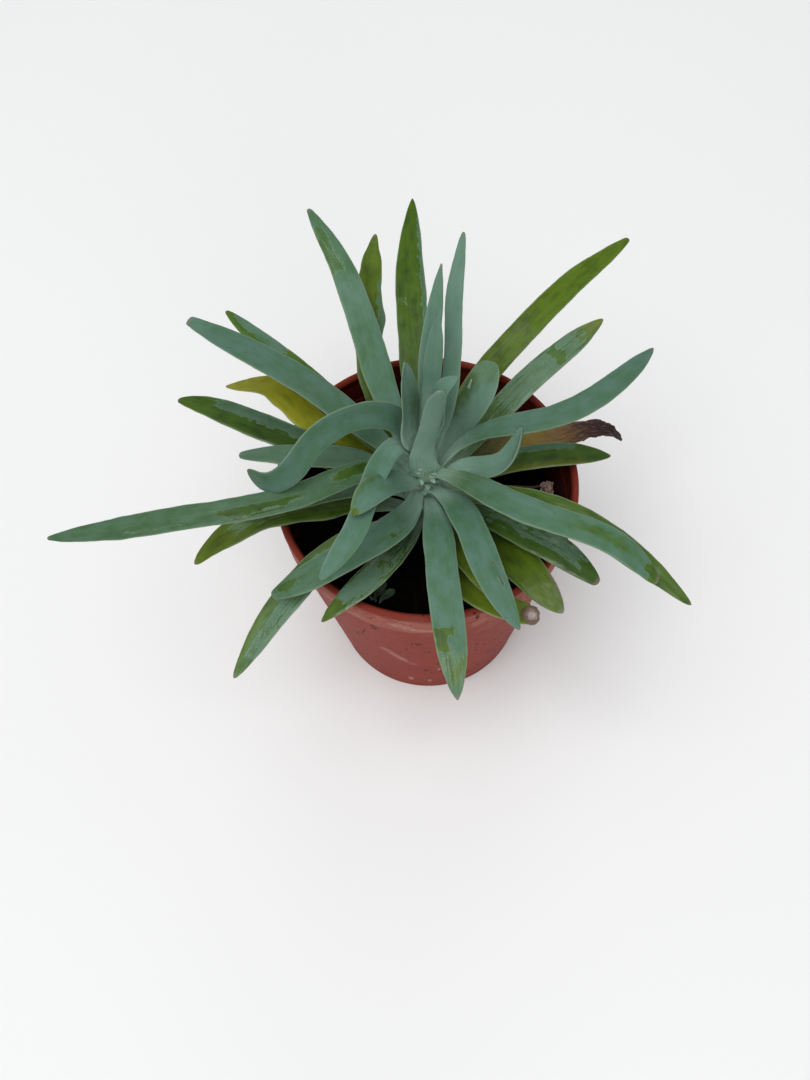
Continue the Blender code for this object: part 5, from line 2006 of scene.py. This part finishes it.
def scar_tree():
    """Adds crescent scars up the stem, each a golden angle on from the last."""
    sizes = {
        "Scars": "Int", "Foot": "Float", "Rise": "Float", "Angle": "Float", "Stem foot radius": "Float",
        "Stem taper": "Float", "Scar radius": "Float", "Scar thickness": "Float", "Finish": "Material",
    }
    graph, given = geometry_graph("Leaf scars", sizes)
    index = graph.node("GeometryNodeInputIndex")
    height = given["Foot"] + index * given["Rise"]
    angle = index * given["Angle"]
    radius = given["Stem foot radius"] - height * given["Stem taper"]
    spot = graph.xyz(radius * graph.math("COSINE", angle), radius * graph.math("SINE", angle), height)
    line = graph.node("GeometryNodeMeshLine", None, {"Count": given["Scars"]})
    line = put(graph, line, "Position", spot)
    bow = graph.node("GeometryNodeCurveArc", None, {
        "Resolution": 16, "Radius": given["Scar radius"],
        "Start Angle": SCAR_START, "Sweep Angle": SCAR_SWEEP,
    })
    scar = swept(graph, bow, ring_curve(graph, SCAR_SIDES, given["Scar thickness"]))
    turn = graph.xyz(math.pi / 2, 0.0, angle + math.pi / 2)
    scars = graph.node(
        "GeometryNodeInstanceOnPoints", None, {"Points": line, "Instance": scar, "Rotation": turn}
    )
    return end_tree(graph, joined(graph, given["Geometry"], scars), given["Finish"])


taper = (STEM_FOOT_RADIUS - STEM_TOP_RADIUS) / (STEM_TOP - STEM_FOOT)
run_tree(stem, scar_tree(), {
    "Scars": SCAR_COUNT, "Foot": SCAR_FOOT * MM, "Rise": SCAR_RISE * MM, "Angle": GOLDEN_ANGLE,
    "Stem foot radius": (STEM_FOOT_RADIUS + taper * STEM_FOOT - SCAR_SINK) * MM, "Stem taper": taper,
    "Scar radius": SCAR_RADIUS * MM, "Scar thickness": SCAR_THICKNESS * MM, "Finish": STEM_FINISH,
})
add_scraps(stem, "stem")
dress(stem, "stem", "stem")

# %% [markdown]
# ## The growing tip
#
# The youngest leaves are still upright and wrapped round one another, and grow from the core in
# one piece with it. They use the same leaf tree as the large ones, with their roots sunk in the
# core, and are joined to it as one mesh.

# %% Crown
CORE_STEPS = 48
CORE_LOOK = Look(tip=0.0)


def make_core():
    heights = np.linspace(CROWN_TOP, STEM_TOP + 0.2, 20)
    wall = [(max(stem_radius(h) - 0.35, 0.4), h, 0) for h in heights]
    profile = [(0.0, CROWN_TOP + 0.3, 0), *wall, (0.0, heights[-1], 0)]
    core = turned("crown_fine", profile, CORE_STEPS, LEAF_SKIN)
    # The whole core takes the pale root colour, partly painted light for its shade among the leaves.
    plain_marks(core.data, CORE_LOOK, 1.0)
    drop_marks(core.data, ("side",))
    return core


crown = make_core()
young = []
for number, leaf in enumerate(YOUNG_LEAVES):
    reach = (1 - YOUNG_ROOT_DEPTH) * stem_radius(leaf.root[1])
    young.append(grow_leaf(leaf, len(LEAVES) + number, reach, 0.0, LEAF_SKIN, LOOKS[leaf.name]))
join_meshes(crown, young)
dress(crown, "crown", "crown")

# %% [markdown]
# ## The seedling
#
# A weed seedling has come up by the pot's front wall: three spoon-shaped leaves on thin stalks
# that leave the soil at one point. The leaf tree makes these as well, with a very narrow neck
# for the stalk.

# %% Seedling
SEEDLING_LOOK = Look(bloom=0.5, film=0.6, olive=0.1, shade=0.85, tip=0.1, base=6.0)
SEEDLING_ROOT = 39.0
SEEDLING_SHAPE = {"neck": 0.2, "full": 0.72, "taper": 0.74, "point": 2.4, "end": 0.4, "thick": 0.9}
SEEDLING_SEEDS = 80
SEEDLING_LEAVES = (
    Leaf("seedling front", 2.9, (242, 78),
         ((243, 38, 81), (246, 36, 83.5), (249, 34, 84)), **SEEDLING_SHAPE),
    Leaf("seedling middle", 2.9, (240, 78),
         ((239, 38.3, 81.5), (240.5, 36.5, 84), (241, 32.5, 85)), **SEEDLING_SHAPE),
    Leaf("seedling left", 2.7, (238, 78),
         ((235, 38.5, 81), (232, 37.5, 83), (228, 36.5, 83.5)), **SEEDLING_SHAPE),
)
seedling_leaves = [
    grow_leaf(leaf, SEEDLING_SEEDS + number, SEEDLING_ROOT, 0.0, LEAF_SKIN, SEEDLING_LOOK)
    for number, leaf in enumerate(SEEDLING_LEAVES)
]
seedling = seedling_leaves[0]
join_meshes(seedling, seedling_leaves[1:])
seedling.name = "seedling_fine"
dress(seedling, "seedling", "seedling")

# %% [markdown]
# ## The lump of root
#
# A knot of dead root lies on the soil against the right-hand wall, dry and pinkish. It is a
# finely divided ball, pushed in and out by noise of three sizes. Its colour follows how far each
# point stands out: tan with painted light on the ridges, and painted shade in the creases.

# %% Root lump
LUMP_PLACE = polar(11.5, 47.3, 85.8)
LUMP_RADII = Vector((2.6, 2.8, 2.4))
LUMP_DIVISIONS = 6
# Tan with painted light for the ridges, and painted shade for the creases.
LUMP_TAN_AND_PAINTED_LIGHT = (0.8, 0.56, 0.46)
LUMP_CREASE_SHADE = (0.05, 0.025, 0.018)
LUMP_RELIEF = 0.0004


def dry_root():
    material, graph = new_material("dry root")
    where = place_mm(graph)
    fibres = graph.noise(where, (1.6, 2.4, 1.6), 4.0, 0.7, 0.8)
    height = painted(graph, "rise")
    # Tan on the ridges is its own colour with painted light; the dark in the creases is painted shade.
    colour = graph.mix(LUMP_CREASE_SHADE, LUMP_TAN_AND_PAINTED_LIGHT, graph.smooth(height + (fibres - 0.5) * 0.9, 0.0, 0.7))
    surface(graph, {
        "Base Color": colour,
        "Roughness": 0.75 + 0.2 * fibres,
        "Specular IOR Level": 0.15,
        "Normal": bumped(graph, fibres, LUMP_RELIEF),
    })
    return material


def make_lump():
    shape = bmesh.new()
    bmesh.ops.create_icosphere(shape, subdivisions=LUMP_DIVISIONS, radius=1.0)
    rises = []
    for vert in shape.verts:
        away = vert.co.normalized()
        ridges = 1 - 2 * abs(noise.noise(away * 1.4))
        fine = 0.9 * noise.noise(away * 3.2 + ELSEWHERE) + 0.5 * noise.noise(away * 8.0 + ELSEWHERE)
        rise = 0.45 + 0.6 * (ridges - 0.5) + 0.6 * fine
        rises.append(rise)
        size = 0.7 + 0.5 * rise
        spot = Vector([away[k] * LUMP_RADII[k] * size for k in range(3)])
        vert.co = (spot + Vector(LUMP_PLACE)) * MM
    mesh = bpy.data.meshes.new("crumb_fine")
    shape.to_mesh(mesh)
    shape.free()
    write_marks(mesh, "rise", rises)
    mesh.shade_smooth()
    mesh.materials.append(dry_root())
    return add_object("crumb_fine", mesh)


dress(make_lump(), "crumb", "crumb")

# %% [markdown]
# ## Floor and finish
#
# A large pale floor takes the soft shadow, and that ends the scene.

# %% Floor
FLOOR_RADIUS = 4.0
FLOOR_PALE = (0.86, 0.86, 0.855)
FLOOR_PALER = (0.89, 0.89, 0.885)


def make_floor():
    material, graph = new_material("floor")
    where = graph.node("ShaderNodeTexCoord", None, None, "Object")
    soft = graph.noise(where, (3.0, 3.0, 3.0), 2.0)
    surface(graph, {
        "Base Color": graph.mix(FLOOR_PALE, FLOOR_PALER, soft),
        "Roughness": 0.9,
        "Specular IOR Level": 0.1,
    })
    shape = bmesh.new()
    bmesh.ops.create_circle(shape, cap_ends=True, segments=96, radius=FLOOR_RADIUS)
    mesh = bpy.data.meshes.new("floor")
    shape.to_mesh(mesh)
    shape.free()
    mesh.materials.append(material)
    add_object("floor", mesh)


make_floor()
print("floor:", 2 * FLOOR_RADIUS, "m across")
